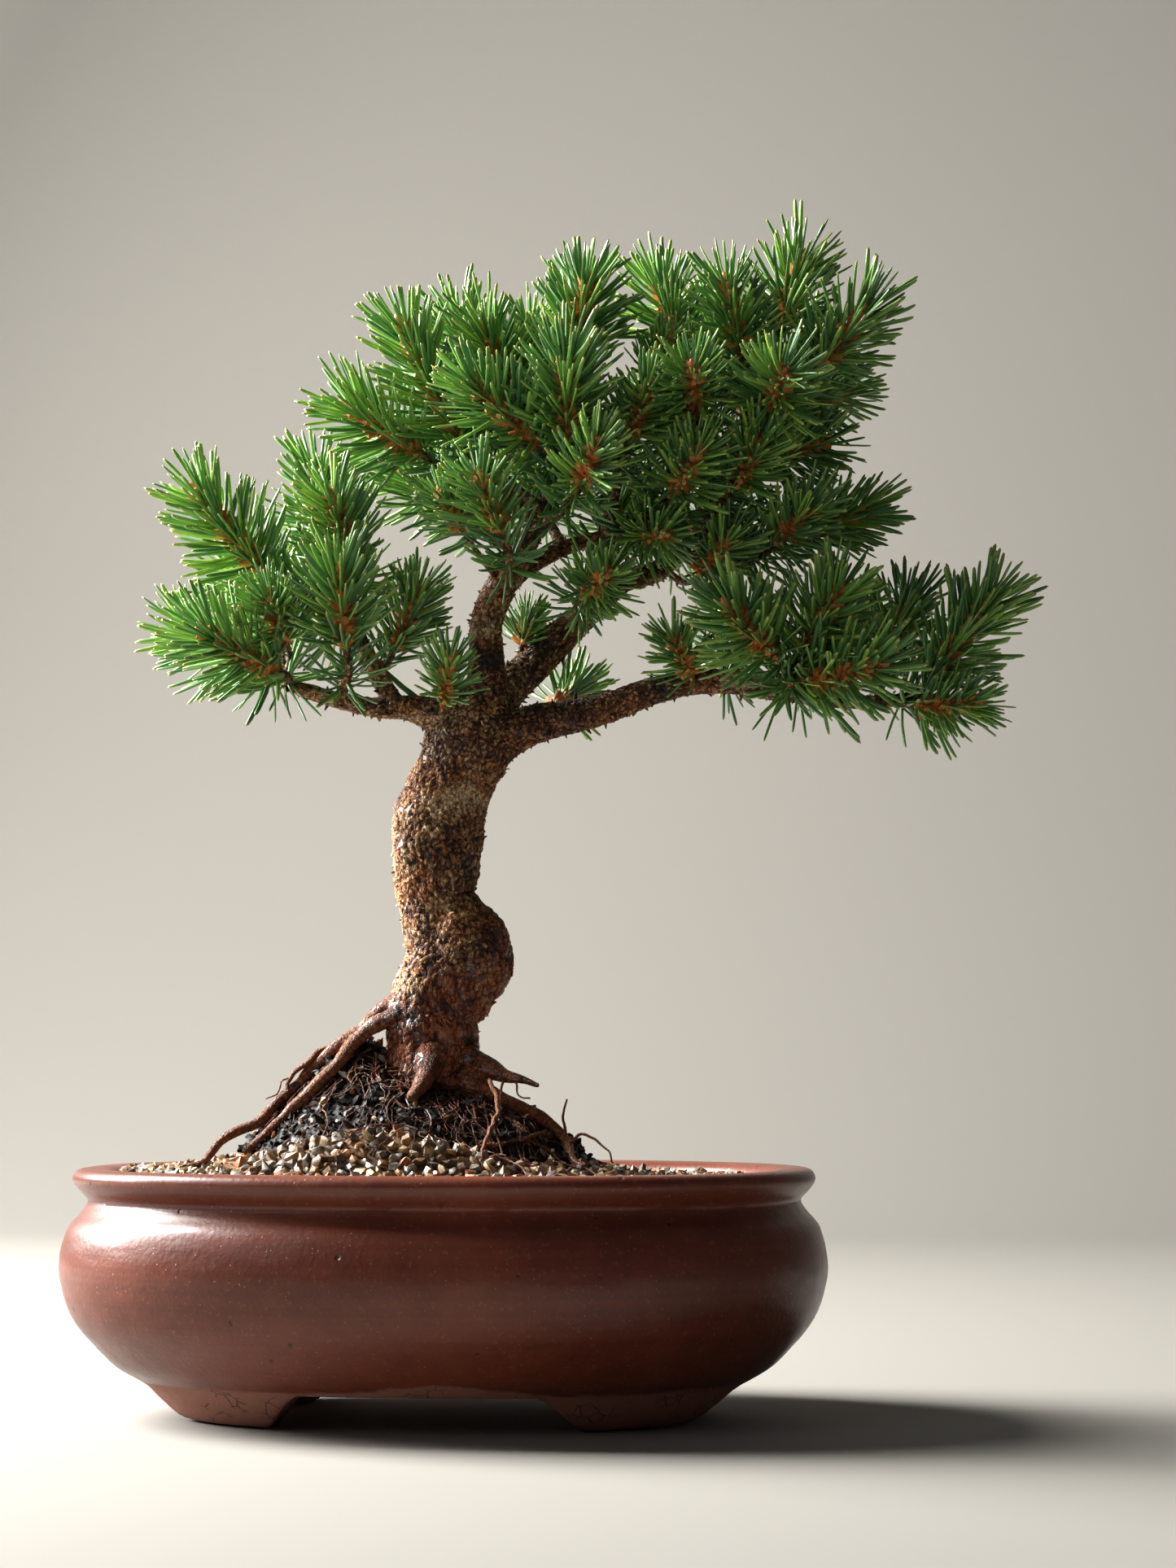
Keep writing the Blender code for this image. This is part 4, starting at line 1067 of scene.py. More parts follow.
def loose_lump(radius: Vector, corners: int, dice: random.Random) -> Any:
    """Makes a small stone or crumb.

    Args:
        radius: Its half-sizes.
        corners: How many corners it has.
        dice: The source of chance.

    Returns:
        Its mesh, about the origin.
    """
    bm = bmesh.new()
    for index in range(corners):
        height = 1.0 - 2.0 * (index + 0.5) / corners
        flat = math.sqrt(1.0 - height * height)
        turn = GOLDEN_ANGLE * index + dice.uniform(-0.5, 0.5)
        out = dice.uniform(0.72, 1.1)
        bm.verts.new((radius.x * flat * math.cos(turn) * out, radius.y * flat * math.sin(turn) * out,
                      radius.z * height * out))
    hull = bmesh.ops.convex_hull(bm, input=bm.verts)
    spare = {item for item in hull["geom_interior"] + hull["geom_unused"]
             if isinstance(item, bmesh.types.BMVert)}
    bmesh.ops.delete(bm, geom=list(spare), context="VERTS")
    return shade(mesh_from(bm, "lump"), 38.0)


def scatter_tree(name: str) -> GeometryTree:
    """Builds the tree that strews shapes over a surface, whose attribute `amount` thins them out."""
    tree = GeometryTree(name, {"Shapes": "Collection", "Spacing": 0.003, "Least Size": 0.7,
                               "Greatest Size": 1.3, "Tilt": 0.6, "Lift": 0.0, "Seed": 1})
    spread = tree.add("GeometryNodeDistributePointsOnFaces", {"distribute_method": "POISSON"},
                      {"Mesh": tree.given(), "Distance Min": tree.given("Spacing"), "Density Max": 900000.0,
                       "Density Factor": tree.read("amount"), "Seed": tree.given("Seed")})
    seed = tree.given("Seed")
    tilt = tree.given("Tilt")
    lean = tree.chance(-1.0, 1.0, seed + 11.0)
    nod = tree.chance(-1.0, 1.0, seed + 12.0)
    spin = tree.chance(0.0, 2.0 * math.pi, seed + 13.0)
    turn = tree.turned(tree.turned(spread.out("Rotation"), lean * tilt, nod * tilt, 0.0), 0.0, 0.0, spin)
    size = tree.chance(0.0, 1.0, seed + 14.0)
    least = tree.given("Least Size")
    scale = least + (tree.given("Greatest Size") - least) * (size * size)
    placed = tree.add("GeometryNodeInstanceOnPoints", {},
                      {"Points": spread, "Instance": tree.variants("Shapes"), "Pick Instance": True,
                       "Instance Index": tree.chance(0, 100, seed + 15.0, "INT"),
                       "Rotation": turn, "Scale": scale})
    placed = tree.label(placed, "tint", tree.chance(0.0, 1.0, seed + 16.0))
    moved = tree.add("GeometryNodeTranslateInstances", {},
                     {"Instances": placed, "Local Space": False,
                      "Translation": tree.xyz(0.0, 0.0, tree.given("Lift"))})
    tree.close(moved)
    return tree


@dataclass
class Bed:
    """The mound of root soil with its crumbs, and the gravel with its pebbles."""

    ground: Ground
    seed: int = 41
    # Name, how many shapes, corners, and the ranges of the three half-sizes in millimetres.
    lumps: tuple[tuple[Any, ...], ...] = (
        ("pebble", 14, (11, 15), (1.9, 2.8), (1.5, 2.1), (1.2, 1.8)),
        ("crumb", 8, (14,), (0.8, 1.5), (0.6, 1.0), (0.4, 0.8)),
        ("chunk", 6, (12,), (1.8, 3.4), (1.0, 1.8), (0.8, 1.5)))

    def sheet(self, name: str, rule: Callable[[float, float], float], shares: Sequence[float],
              amount: Callable[[float, float], float], bottom: float) -> Any:
        """Makes a closed body from a flat bottom up to a height rule.

        Args:
            name: The mesh's name.
            rule: Gives the height over a point of the plan.
            shares: Ring sizes, 0 at the mound's middle, 1 at its foot and 2 at the pot's wall.
            amount: Gives how thickly a point is strewn.
            bottom: The height of the flat bottom.

        Returns:
            The mesh with its attributes `amount` and `tint`.
        """
        columns = 240
        wall = self.ground.pot.inner_inset(self.ground.gravel_edge) + 0.0008
        bm = bmesh.new()
        rings = []
        for share in shares:
            ring = []
            for column in range(columns):
                angle = 2.0 * math.pi * column / columns
                half = self.ground.right if math.cos(angle) > 0.0 else self.ground.left
                inner = min(1.0, share)
                x = self.ground.centre[0] + half * inner * math.cos(angle)
                y = self.ground.centre[1] + self.ground.deep * inner * math.sin(angle)
                if share > 1.0:
                    far_x, far_y = self.ground.pot.plan_point(angle, wall)
                    x += (far_x - x) * (share - 1.0)
                    y += (far_y - y) * (share - 1.0)
                ring.append(bm.verts.new((x, y, rule(x, y))))
            rings.append(ring)
        for inner_ring, outer_ring in zip(rings, rings[1:]):
            for column in range(columns):
                after = (column + 1) % columns
                bm.faces.new((inner_ring[column], outer_ring[column], outer_ring[after], inner_ring[after]))
        bm.faces.new(rings[0][::-1])
        base = [bm.verts.new((vert.co.x, vert.co.y, bottom)) for vert in rings[-1]]
        for column in range(columns):
            after = (column + 1) % columns
            bm.faces.new((rings[-1][column], base[column], base[after], rings[-1][after]))
        bm.faces.new(base)
        mesh = mesh_from(bm, name)
        points = read_points(mesh)
        on_top = points[:, 2] > bottom + 0.001
        thick = [amount(x, y) if top else 0.0 for (x, y, _), top in zip(points, on_top)]
        set_attribute(mesh, "amount", thick)
        set_attribute(mesh, "tint", np.zeros(len(points)))
        return shade(mesh, 70.0)

    def soil_height(self, x: float, y: float) -> float:
        """Gives the mound's rough top."""
        rough = (0.0018 * wobble(x, y, 0.0, 0.011, 1.3) + 0.0014 * wobble(x, y, 0.0, 0.0045, 5.2)
                 + 0.0008 * wobble(x, y, 0.0, 0.0018, 9.4))
        return self.ground.mound(x, y) + rough - 0.0004

    def gravel_share(self, x: float, y: float) -> float:
        """Gives how much of the ground here is gravel: 0 on the mound, 1 past its foot."""
        over = self.ground.gravel(x, y) - self.ground.mound(x, y) + 0.0022 * wobble(x, y, 0.0, 0.007, 2.2)
        return smooth_between(over, -0.003, 0.0012)

    def build(self, bench: Bench) -> None:
        """Makes the mound, the gravel bed and everything strewn on them."""
        ground = self.ground
        bottom = 0.0583
        mound = self.sheet("root_mound", self.soil_height, [0.01 + 0.99 * k / 60 for k in range(61)],
                           lambda x, y: 1.0 - 0.85 * self.gravel_share(x, y), bottom)
        bed = self.sheet("gravel_bed", lambda x, y: ground.gravel(x, y) - 0.0016,
                         [0.55 + 1.45 * k / 48 for k in range(49)], self.gravel_share, bottom)
        dice = random.Random(self.seed)
        pebbles, crumbs, chunks = (variant_set(name, [
            loose_lump(Vector(dice.uniform(*span) / 1000.0 for span in spans),
                       dice.randint(*corners) if len(corners) == 2 else corners[0], dice)
            for _ in range(count)]) for name, count, corners, *spans in self.lumps)
        strew = scatter_tree("strewn_lumps")
        washed = GravelFinish().build()
        # The lower pebbles and the gravel bed take painted shade: their finish is darkened to 62%.
        shaded_gravel = GravelFinish().build(0.62)
        damp = SoilFinish().build("damp_root_soil", 1.0)
        layers = (("gravel_top", bed, pebbles, 0.0035, 0.88, 1.38, 1.2, 0.0014, 5, washed, Slot.GRAVEL),
                  ("gravel_under", bed, pebbles, 0.0036, 0.85, 1.3, 1.2, -0.0003, 8, shaded_gravel, Slot.GRAVEL),
                  ("stray_pebbles", mound, pebbles, 0.009, 0.5, 1.0, 1.0, 0.0007, 2, washed, Slot.GRAVEL),
                  ("soil_chunks", mound, chunks, 0.0042, 0.5, 1.4, 1.3, 0.0005, 4, damp, Slot.SOIL),
                  ("soil_crumbs", mound, crumbs, 0.0016, 0.5, 1.6, 1.2, 0.0, 3, damp, Slot.SOIL))
        for name, base, shapes, spacing, least, greatest, tilt, lift, seed, finish, slot in layers:
            made = strew.run(base, {"Shapes": shapes, "Spacing": spacing, "Least Size": least,
                                    "Greatest Size": greatest, "Tilt": tilt, "Lift": lift, "Seed": seed,
                                    "Material": finish})
            bench.add(name, made, slot)
        mound.materials.append(damp)
        bed.materials.append(shaded_gravel)
        bench.add("root_mound", mound, Slot.SOIL, ("root_ball",))
        bench.add("gravel_bed", bed, Slot.GRAVEL, ("gravel",))


# ---- the wood ----
# Places and radii in the tables are in millimetres.
TRUNK = ((-5, 0, 92, 17), (-5, 0, 100, 16.3), (-4, 0, 112, 14.7), (-4, 0, 125, 14.4), (-1, 0, 142, 12.4),
         (-2, 0, 152, 11.4), (-3, 0, 161, 11.7), (-3, 0, 171, 13.4), (-3, 0, 181, 14.4), (-1, 0, 191, 13.9),
         (3, 0, 201, 13), (7, 1, 211, 14.2), (10, 1, 220, 12.6), (11, 1, 229, 7))
LIMBS = {
    "left": ((4, 0, 216, 7.7), (-7, -4, 221, 4.9), (-13, -5, 222, 3.9), (-23, -8, 222, 3.1),
             (-37, -12, 225, 2.6), (-50, -15, 229, 2.1)),
    "left_riser": ((-15, -6, 222, 3.2), (-20, -7, 230, 3), (-25, -8, 240, 2.6), (-31, -6, 252, 2.2),
                   (-36, -4, 263, 1.8)),
    "front_upright": ((11, 1, 216, 8.8), (13, -1, 225, 7), (13, -3, 238, 5.7), (13, -3, 249, 5.2),
                      (16, 0, 259, 5), (21, 2, 268, 4.4), (27, 3, 279, 3.4), (32, 3, 289, 2.8),
                      (34, 3, 298, 2.4), (35, 4, 310, 2)),
    "front_spur": ((16, 0, 259, 3.6), (24, 8, 268, 3), (36, 11, 275, 2.6), (50, 11, 279, 2.2)),
    "rear_upright": ((12, 5, 218, 8.8), (17, 12, 229, 6.7), (28, 17, 240, 5.6), (37, 20, 250, 5.2),
                     (47, 19, 259, 4.4), (55, 17, 265, 3.8), (67, 18, 269, 3.4), (77, 21, 281, 2.8),
                     (85, 22, 295, 2.5), (92, 20, 310, 2.1), (96, 16, 322, 1.8)),
    "right": ((11, 1, 209, 9.8), (19, -1, 213, 7.2), (29, -2, 217, 6.2), (40, -2, 219, 5.4),
              (52, -1, 222, 4.9), (65, 1, 227, 4.4), (78, 2, 230, 4.1), (91, 3, 230, 3.8),
              (106, 4, 227, 3.2), (127, 7, 224, 2.4), (142, 9, 224, 1.8)),
}
# Points in the air are (x, y, z, radius), points on the ground (x, y, radius).
ROOTS = {
    "left_high": ((-12, -2, 130, 4), (-20.5, -4, 125.5, 2.7), (-26, -6, 119.5, 2.3), (-33, -9, 115, 2.1),
                  (-40, -8, 2), (-46, -9, 1.8), (-51, -10, 1.6), (-57, -12, 1.3)),
    "left_low": ((-13, -9, 125, 3.4), (-21, -10, 121.5, 2.6), (-27, -11, 116.5, 2.2), (-32, -15, 2.1),
                 (-37, -18, 2), (-43, -21, 1.8), (-51, -22, 1.5), (-60, -23, 1.2)),
    "left_far": ((-46, -9, 102.8, 1.6), (-52, -14, 96.5, 1.8), (-56, -18, 91.5, 1.8), (-62, -21, 88.5, 1.6),
                 (-67, -24, 85.5, 1.4), (-72, -28, 1.2), (-78, -31, 0.9)),
    "toe": ((-3, -10, 112, 6.2), (-3.5, -17, 106.5, 3.6), (-5, -22.5, 2.4), (-7, -27, 1.6)),
    "right_horn": ((6, -5, 111, 5.6), (16, -10, 107.5, 3.2), (21, -12, 105.5, 2.2), (26, -14, 104.5, 1.4),
                   (31, -15, 102.5, 0.8)),
    "right_low": ((6, -8, 104, 4.5), (18, -12, 2.3), (27, -11, 2.1), (34, -10, 1.9), (40, -13, 1.5),
                  (43, -20, 1.2), (47, -24, 1)),
    "right_back": ((4, 6, 108, 4.5), (14, 13, 2.6), (24, 20, 1.8), (34, 27, 1.1)),
    "back": ((-5, 6, 113, 5), (-10, 18, 109, 3), (-18, 26, 2.1), (-28, 33, 1.6), (-36, 40, 1)),
}
# Each shoot's base, where its stem starts, and its tip, where its bud ends.
SHOOTS = {
    "left": ((-57, -11, 265, -76, -22, 288), (-50, -21, 232, -70, -37, 242), (-28, -26, 238, -29, -36, 261),
             (-29, -17, 268, -33, -26, 286), (-40, 4, 280, -44, 8, 301), (-17, -3, 241, -9, -6, 259),
             (-61, 14, 253, -74, 27, 274), (-43, 17, 254, -51, 34, 276), (-66, 3, 238, -88, 13, 250)),
    "middle": ((6, -3, 307, -13, -13, 343), (-8, -1, 304, -30, -9, 318), (9, 8, 329, 2, 13, 351),
               (22, -8, 323, 14, -17, 341), (32, -19, 303, 12, -33, 320), (41, -24, 302, 42, -36, 326),
               (40, -2, 334, 45, -6, 357), (45, -29, 288, 52, -43, 298), (60, -15, 306, 67, -26, 319),
               (20, -22, 275, 14, -31, 291), (27, 8, 328, 25, 12, 348), (4, 21, 312, -10, 33, 336),
               (31, 27, 314, 26, 43, 346), (-1, 16, 289, -21, 28, 305), (25, 37, 298, 19, 60, 318)),
    "top": ((73, 10, 343, 67, 15, 363), (94, 0, 337, 90, -5, 356), (107, 10, 346, 113, 15, 368),
            (119, 4, 331, 134, 2, 349), (104, -13, 315, 109, -34, 321), (81, -12, 314, 81, -32, 323),
            (91, -6, 290, 101, -19, 303), (73, -11, 289, 82, -27, 298), (108, 20, 322, 127, 28, 329),
            (101, 12, 303, 120, 16, 309), (88, 34, 336, 83, 50, 360), (105, 38, 331, 118, 57, 351),
            (74, 38, 313, 64, 60, 333)),
    "right": ((105, -13, 236, 92, -29, 249), (114, -6, 238, 125, -16, 256), (114, -8, 229, 137, -21, 232),
              (153, 9, 230, 173, 5, 256), (139, 17, 240, 147, 26, 258), (110, 20, 281, 132, 26, 288),
              (105, 0, 274, 117, -9, 284), (149, 6, 223, 166, -2, 222), (117, 30, 240, 130, 48, 257),
              (90, 25, 239, 94, 45, 256)),
    "low": ((63, -4, 277, 71, -18, 274), (45, -2, 259, 53, -17, 262), (49, 34, 283, 53, 54, 302),
            (74, 38, 281, 84, 58, 297)),
}
# Small tufts that grow straight from a limb, between the full shoots.
TUFTS = {
    "left": ((-48, -21, 241, -51, -35, 253),),
    "middle": ((2, -22, 222, 5, -30, 234), (7, -15, 277, 1, -22, 287), (22, 16, 244, 24, 20, 255),
               (32, 19, 225, 40, 34, 233)),
    "top": ((64, -4, 328, 71, -9, 338),),
    "right": ((79, 0, 232, 73, -11, 242), (81, 2, 265, 91, -11, 273)),
}
# Rootlets that stand off the ground, as (x, y, z, radius).
WHISKERS = (
    ((-33.3, -7, 113.6, 1.1), (-38.9, -8, 113.6, 1.1), (-42.2, -9, 110, 1), (-47.3, -10, 105.7, 0.8),
     (-48.3, -12, 100.1, 0.5)),
    ((16, -19, 104.5, 0.8), (20, -26, 97, 0.8), (19, -32, 91, 0.7), (17.5, -40, 85, 0.6),
     (17, -44, 80, 0.4)),
    ((38.5, -12, 84, 0.7), (39.5, -13, 89, 0.5), (39, -14, 93.5, 0.4), (40, -14, 98.5, 0.3)),
    ((41, -14, 84.5, 0.6), (44.5, -15, 87.5, 0.5), (49.5, -17, 85.5, 0.4), (53, -19, 82.5, 0.3),
     (55, -20, 79, 0.3)),
    ((20, -14, 104, 0.5), (19.5, -16, 99.5, 0.4), (20, -18, 95, 0.3)),
    ((24, -14, 103.5, 0.4), (25, -16, 100, 0.3), (29, -18, 98.5, 0.3)),
    ((-47.3, -10, 105.7, 0.4), (-50.5, -11, 103.5, 0.3), (-51.5, -12, 100, 0.3), (-54.9, -13, 98.1, 0.2)),
    ((34, -10, 88, 1), (31, -20, 87.5, 0.9), (22, -30, 85, 0.7), (15, -36, 84.5, 0.5)),
)
TUFT_TWIG = "twig_tuft"


def metres(rows: Iterable[Sequence[float]]) -> list[Row]:
    """Gives rows of millimetres in metres."""
    return [tuple(round(value / 1000.0, 7) for value in row) for row in rows]


def shoot_ends(rows: Iterable[Sequence[float]]) -> list[tuple[Vector, Vector]]:
    """Gives the base and the tip of each shoot, from rows of both in millimetres."""
    return [(Vector(row[:3]), Vector(row[3:])) for row in metres(rows)]


@dataclass
class Strand:
    """One stretch of wood: rows of x, y, z and radius."""

    name: str
    rows: list[Row]
    relief: float
    root: float = 0.0
    sides: int = 14


@dataclass
class Wood:
    """The trunk, limbs, twigs and surface roots, with their bark."""

    ground: Ground
    burl: tuple[Triple, ...] = ((0.01, -0.001, 0.143), (0.011, 0.0115, 0.0155))
    root_clearance: float = 0.0004
    twig_radii: tuple[float, float] = (0.0021, 0.0014)
    twig_neck: float = 0.0025
    strands: list[Strand] = field(default_factory=list)

    def root_rows(self, points: Sequence[Row]) -> list[Row]:
        """Gives the rows of a root, which keeps to the ground once it is on it."""
        rows = []
        for point in points:
            x, y, radius = (*point[:2], point[-1])
            on_ground = self.ground.height(x, y) + radius + self.root_clearance
            rows.append(point if len(point) == 4 else (x, y, on_ground, radius))
        smooth = curve_through(rows, 0.0025)
        kept = []
        for index, (x, y, z, radius) in enumerate(smooth):
            low = self.ground.height(x, y) + 0.55 * radius
            sway = 0.0007 * smooth_between(index, 2.0, 8.0)
            x += sway * wobble(x, y, z, 0.006, 4.0 + len(points))
            y += sway * wobble(x, y, z, 0.006, 8.0 + len(points))
            lumpy = 1.0 + 0.16 * wobble(x, y, z, 0.004, 1.7)
            kept.append((x, y, max(z, low), max(0.0004, radius * lumpy)))
        return kept

    def limb_points(self) -> list[Vector]:
        """Gives the places along the limbs that a twig may start from."""
        places = []
        for points in map(metres, LIMBS.values()):
            for start, end in zip(points[1:], points[2:]):
                near, far = Vector(start[:3]), Vector(end[:3])
                places.extend(near.lerp(far, share) for share in (0.0, 0.35, 0.7))
            places.append(Vector(points[-1][:3]))
        return places

    def twig_rows(self, base: Vector, axis: Vector, places: Sequence[Vector],
                  thin: float = 1.0) -> list[Row]:
        """Gives the rows of the twig from the best-placed point of the limbs to a shoot's base."""
        def cost(place: Vector) -> float:
            """Says how far and how badly turned a place lies."""
            away = base - place
            turn = away.normalized().dot(axis) if away.length > 1e-6 else 1.0
            return away.length * (1.7 - turn)
        start = min(places, key=cost)
        neck = base - axis * self.twig_neck
        reach = (neck - start).length
        leave = start.lerp(neck, 0.4)
        arrive = neck - axis * min(0.45 * reach, 0.012)
        rows = []
        steps = max(3, math.ceil(reach / 0.002))
        thick, slim = (radius * thin for radius in self.twig_radii)
        for step in range(steps + 1):
            t = step / steps
            s = 1.0 - t
            place = start * s ** 3 + leave * (3 * s * s * t) + arrive * (3 * s * t * t) + neck * t ** 3
            knob = 1.0 + 0.14 * wobble(place.x, place.y, place.z, 0.004, 6.1)
            rows.append((*place, (thick + t * (slim - thick)) * knob))
        rows.append((*(base + axis * 0.001), slim))
        return rows

    def plan(self) -> None:
        """Lists every stretch of wood."""
        self.strands.append(Strand("trunk", curve_through(metres(TRUNK), 0.002), 1.0, 0.0, 40))
        for name, points in LIMBS.items():
            self.strands.append(Strand(name, curve_through(metres(points), 0.002), 0.75, 0.0, 20))
        for name, points in ROOTS.items():
            fresh = 0.12 if name in ("right_horn", "back", "right_back") else 0.85
            self.strands.append(Strand("root_" + name, self.root_rows(metres(points)), 0.3, fresh, 14))
        places = self.limb_points()
        for group, rows in SHOOTS.items():
            for number, (base, tip) in enumerate(shoot_ends(rows), 1):
                twig = self.twig_rows(base, (tip - base).normalized(), places)
                self.strands.append(Strand(f"twig_{group}_{number}", twig, 0.45, 0.0, 10))
        for rows in TUFTS.values():
            for base, tip in shoot_ends(rows):
                twig = self.twig_rows(base, (tip - base).normalized(), places, 0.7)
                self.strands.append(Strand(TUFT_TWIG, twig, 0.35, 0.0, 8))

    def tubes(self, names: Callable[[str], bool]) -> bmesh.types.BMesh:
        """Makes the tubes of the strands whose names pass a test."""
        bm = bmesh.new()
        for strand in self.strands:
            if names(strand.name):
                self.add_tube(bm, strand)
        return bm

    def add_tube(self, bm: bmesh.types.BMesh, strand: Strand) -> None:
        """Adds one strand as a tube with closed ends."""
        places = [Vector(row[:3]) for row in strand.rows]
        side = Vector((0.0, 1.0, 0.0))
        rings = []
        for index, place in enumerate(places):
            ahead = places[min(index + 1, len(places) - 1)] - places[max(index - 1, 0)]
            ahead.normalize()
            side = (side - ahead * side.dot(ahead)).normalized()
            other = ahead.cross(side)
            ring = []
            for corner in range(strand.sides):
                angle = 2.0 * math.pi * corner / strand.sides
                out = side * math.cos(angle) + other * math.sin(angle)
                radius = strand.rows[index][3]
                if strand.name == "trunk":
                    radius *= 1.0 + self.trunk_shape(angle, place.z, place + out * radius)
                ring.append(bm.verts.new(place + out * radius))
            rings.append(ring)
        bridge(bm, rings)
        bm.faces.new(rings[0][::-1])
        bm.faces.new(rings[-1])

    def trunk_shape(self, angle: float, height: float, spot: Vector) -> float:
        """Gives how far the trunk's outline leaves a circle: lobes at its foot, lumps above.

        Args:
            angle: The turn round the trunk: a quarter is the left side, a half the front.
            height: How high the point is.
            spot: The point.

        Returns:
            The share of the radius to add.
        """
        foot = smooth_between(height, 0.136, 0.104)
        groove = math.exp(-((angle - 1.06 * math.pi) / 0.24) ** 2)
        lobes = 0.1 * math.exp(-((angle - 0.8 * math.pi) / 0.45) ** 2) + 0.05 * math.cos(5.0 * angle + 2.1)
        lumps = 0.09 * wobble(*spot, 0.012, 2.9) + 0.05 * wobble(*spot, 0.0055, 6.3)
        return foot * (lobes - 0.24 * groove) + lumps

    def remeshed(self, bm: bmesh.types.BMesh, name: str, voxel: float, rounds: int) -> Any:
        """Gives one skin over overlapping tubes.

        Args:
            bm: The tubes.
            name: The mesh's name.
            voxel: The size of the skin's cells.
            rounds: How often the skin is smoothed.

        Returns:
            The skin.
        """
        holder = linked(name, mesh_from(bm, name))
        skin = holder.modifiers.new("skin", "REMESH")
        skin.mode = "VOXEL"
        skin.voxel_size = voxel
        skin.use_smooth_shade = True
        relax = holder.modifiers.new("relax", "SMOOTH")
        relax.factor = 0.5
        relax.iterations = rounds
        made = evaluated_mesh(holder)
        bpy.data.objects.remove(holder, do_unlink=True)
        return made

    def mark(self, mesh: Any) -> None:
        """Gives each point of the skin its place along the grain and its kind of bark."""
        table = []
        for number, strand in enumerate(self.strands):
            places = np.array([row[:3] for row in strand.rows])
            ahead = np.gradient(places, axis=0)
            ahead /= np.linalg.norm(ahead, axis=1)[:, None]
            run = np.concatenate(([0.0], np.cumsum(np.linalg.norm(np.diff(places, axis=0), axis=1))))
            for place, way, length, row in zip(places, ahead, run, strand.rows):
                leaves = smooth_between(length, 0.002, 0.016) if strand.root else 0.0
                table.append((*place, row[3], *way, length + 0.31 * number, strand.relief,
                              strand.root * leaves))
        rows = np.array(table)
        points = read_points(mesh)
        grain = np.empty((len(points), 3))
        marks = np.empty((len(points), 3))
        for start in range(0, len(points), 4000):
            part = points[start:start + 4000]
            gaps = np.linalg.norm(part[:, None, :] - rows[None, :, :3], axis=2) - rows[None, :, 3]
            near = rows[np.argmin(gaps, axis=1)]
            offset = part - near[:, :3]
            way = near[:, 4:7]
            slide = np.sum(offset * way, axis=1)
            flat = offset - way * slide[:, None]
            grain[start:start + 4000] = flat + way * ((near[:, 7] + slide) * 0.55)[:, None]
            marks[start:start + 4000] = near[:, (3, 8, 9)]
        ragged = np.array([wobble(x, y, z, 0.014, 3.3) + 0.5 * wobble(x, y, z, 0.005, 8.1)
                           for x, y, z in points])
        x, y, z = points.T
        # The foot is soaked and wet streaks run down the left side; the burl's right side is given the dark
        # soaked colour as painted shade.
        soaked = fade(z - 0.014 * ragged, 0.139, 0.127)
        streaks = np.clip((ragged - 0.3) * 3.0, 0.0, 1.0) * fade(z, 0.2, 0.18) * fade(x, 0.0, -0.008)
        burl_painted_shade = fade(x, 0.011, 0.014) * fade(z, 0.16, 0.156)
        wet = np.maximum(np.maximum(soaked, 0.75 * streaks), 0.85 * burl_painted_shade)
        # Bark is missing on top of the right limb. A pale strip on the trunk's lit left edge is a painted
        # highlight in the same colour.
        patch = fade(x, 0.086, 0.089) * fade(x, 0.108, 0.105) * fade(y, 0.003, 0.001)
        patch *= fade(z, 0.2275, 0.2285) * fade(z, 0.24, 0.237)
        lit_edge_highlight = fade(x, -0.0146, -0.0156) * fade(z, 0.168, 0.172) * fade(z, 0.192, 0.188)
        bare = np.maximum(patch, 0.8 * lit_edge_highlight * np.clip(0.6 + ragged, 0.0, 1.0))
        set_attribute(mesh, "grain", grain)
        set_attribute(mesh, "depth", marks[:, 1] * np.clip(marks[:, 0] / 0.006, 0.25, 1.0))
        set_attribute(mesh, "root", marks[:, 2])
        set_attribute(mesh, "wet", wet)
        set_attribute(mesh, "bare", bare)
        set_attribute(mesh, "amount", np.clip(marks[:, 1] - marks[:, 2] - 0.8 * wet, 0.0, 1.0))

    def relief_tree(self) -> GeometryTree:
        """Builds the tree that raises plates of bark with cracks between them."""
        tree = GeometryTree("bark_relief", {"Depth": 0.0009, "Plate Scale": 300.0})
        grain = tree.read("grain", "FLOAT_VECTOR")
        bent = tree.vector("ADD", grain, tree.scaled(tree.noise(grain, 160.0, 2.0).out("Color"), 0.004))
        edge = tree.cells(bent, tree.given("Plate Scale"), "DISTANCE_TO_EDGE")
        plate = tree.step(edge, 0.02, 0.22)
        small = tree.cells(bent, 800.0)
        rough = tree.noise(grain, 420.0, 4.0, 0.7)
        broad = tree.noise(grain, 90.0, 2.0)
        level = plate * 0.35 + (1.0 - small) * 0.25 + rough * 0.65 + broad * 0.35 - 0.3
        raised = tree.store(tree.given(), "relief", level)
        rise = (level - 0.5) * tree.given("Depth") * tree.read("depth")
        away = tree.scaled(tree.add("GeometryNodeInputNormal"), rise)
        tree.close(tree.add("GeometryNodeSetPosition", {}, {"Geometry": raised, "Offset": away}))
        return tree

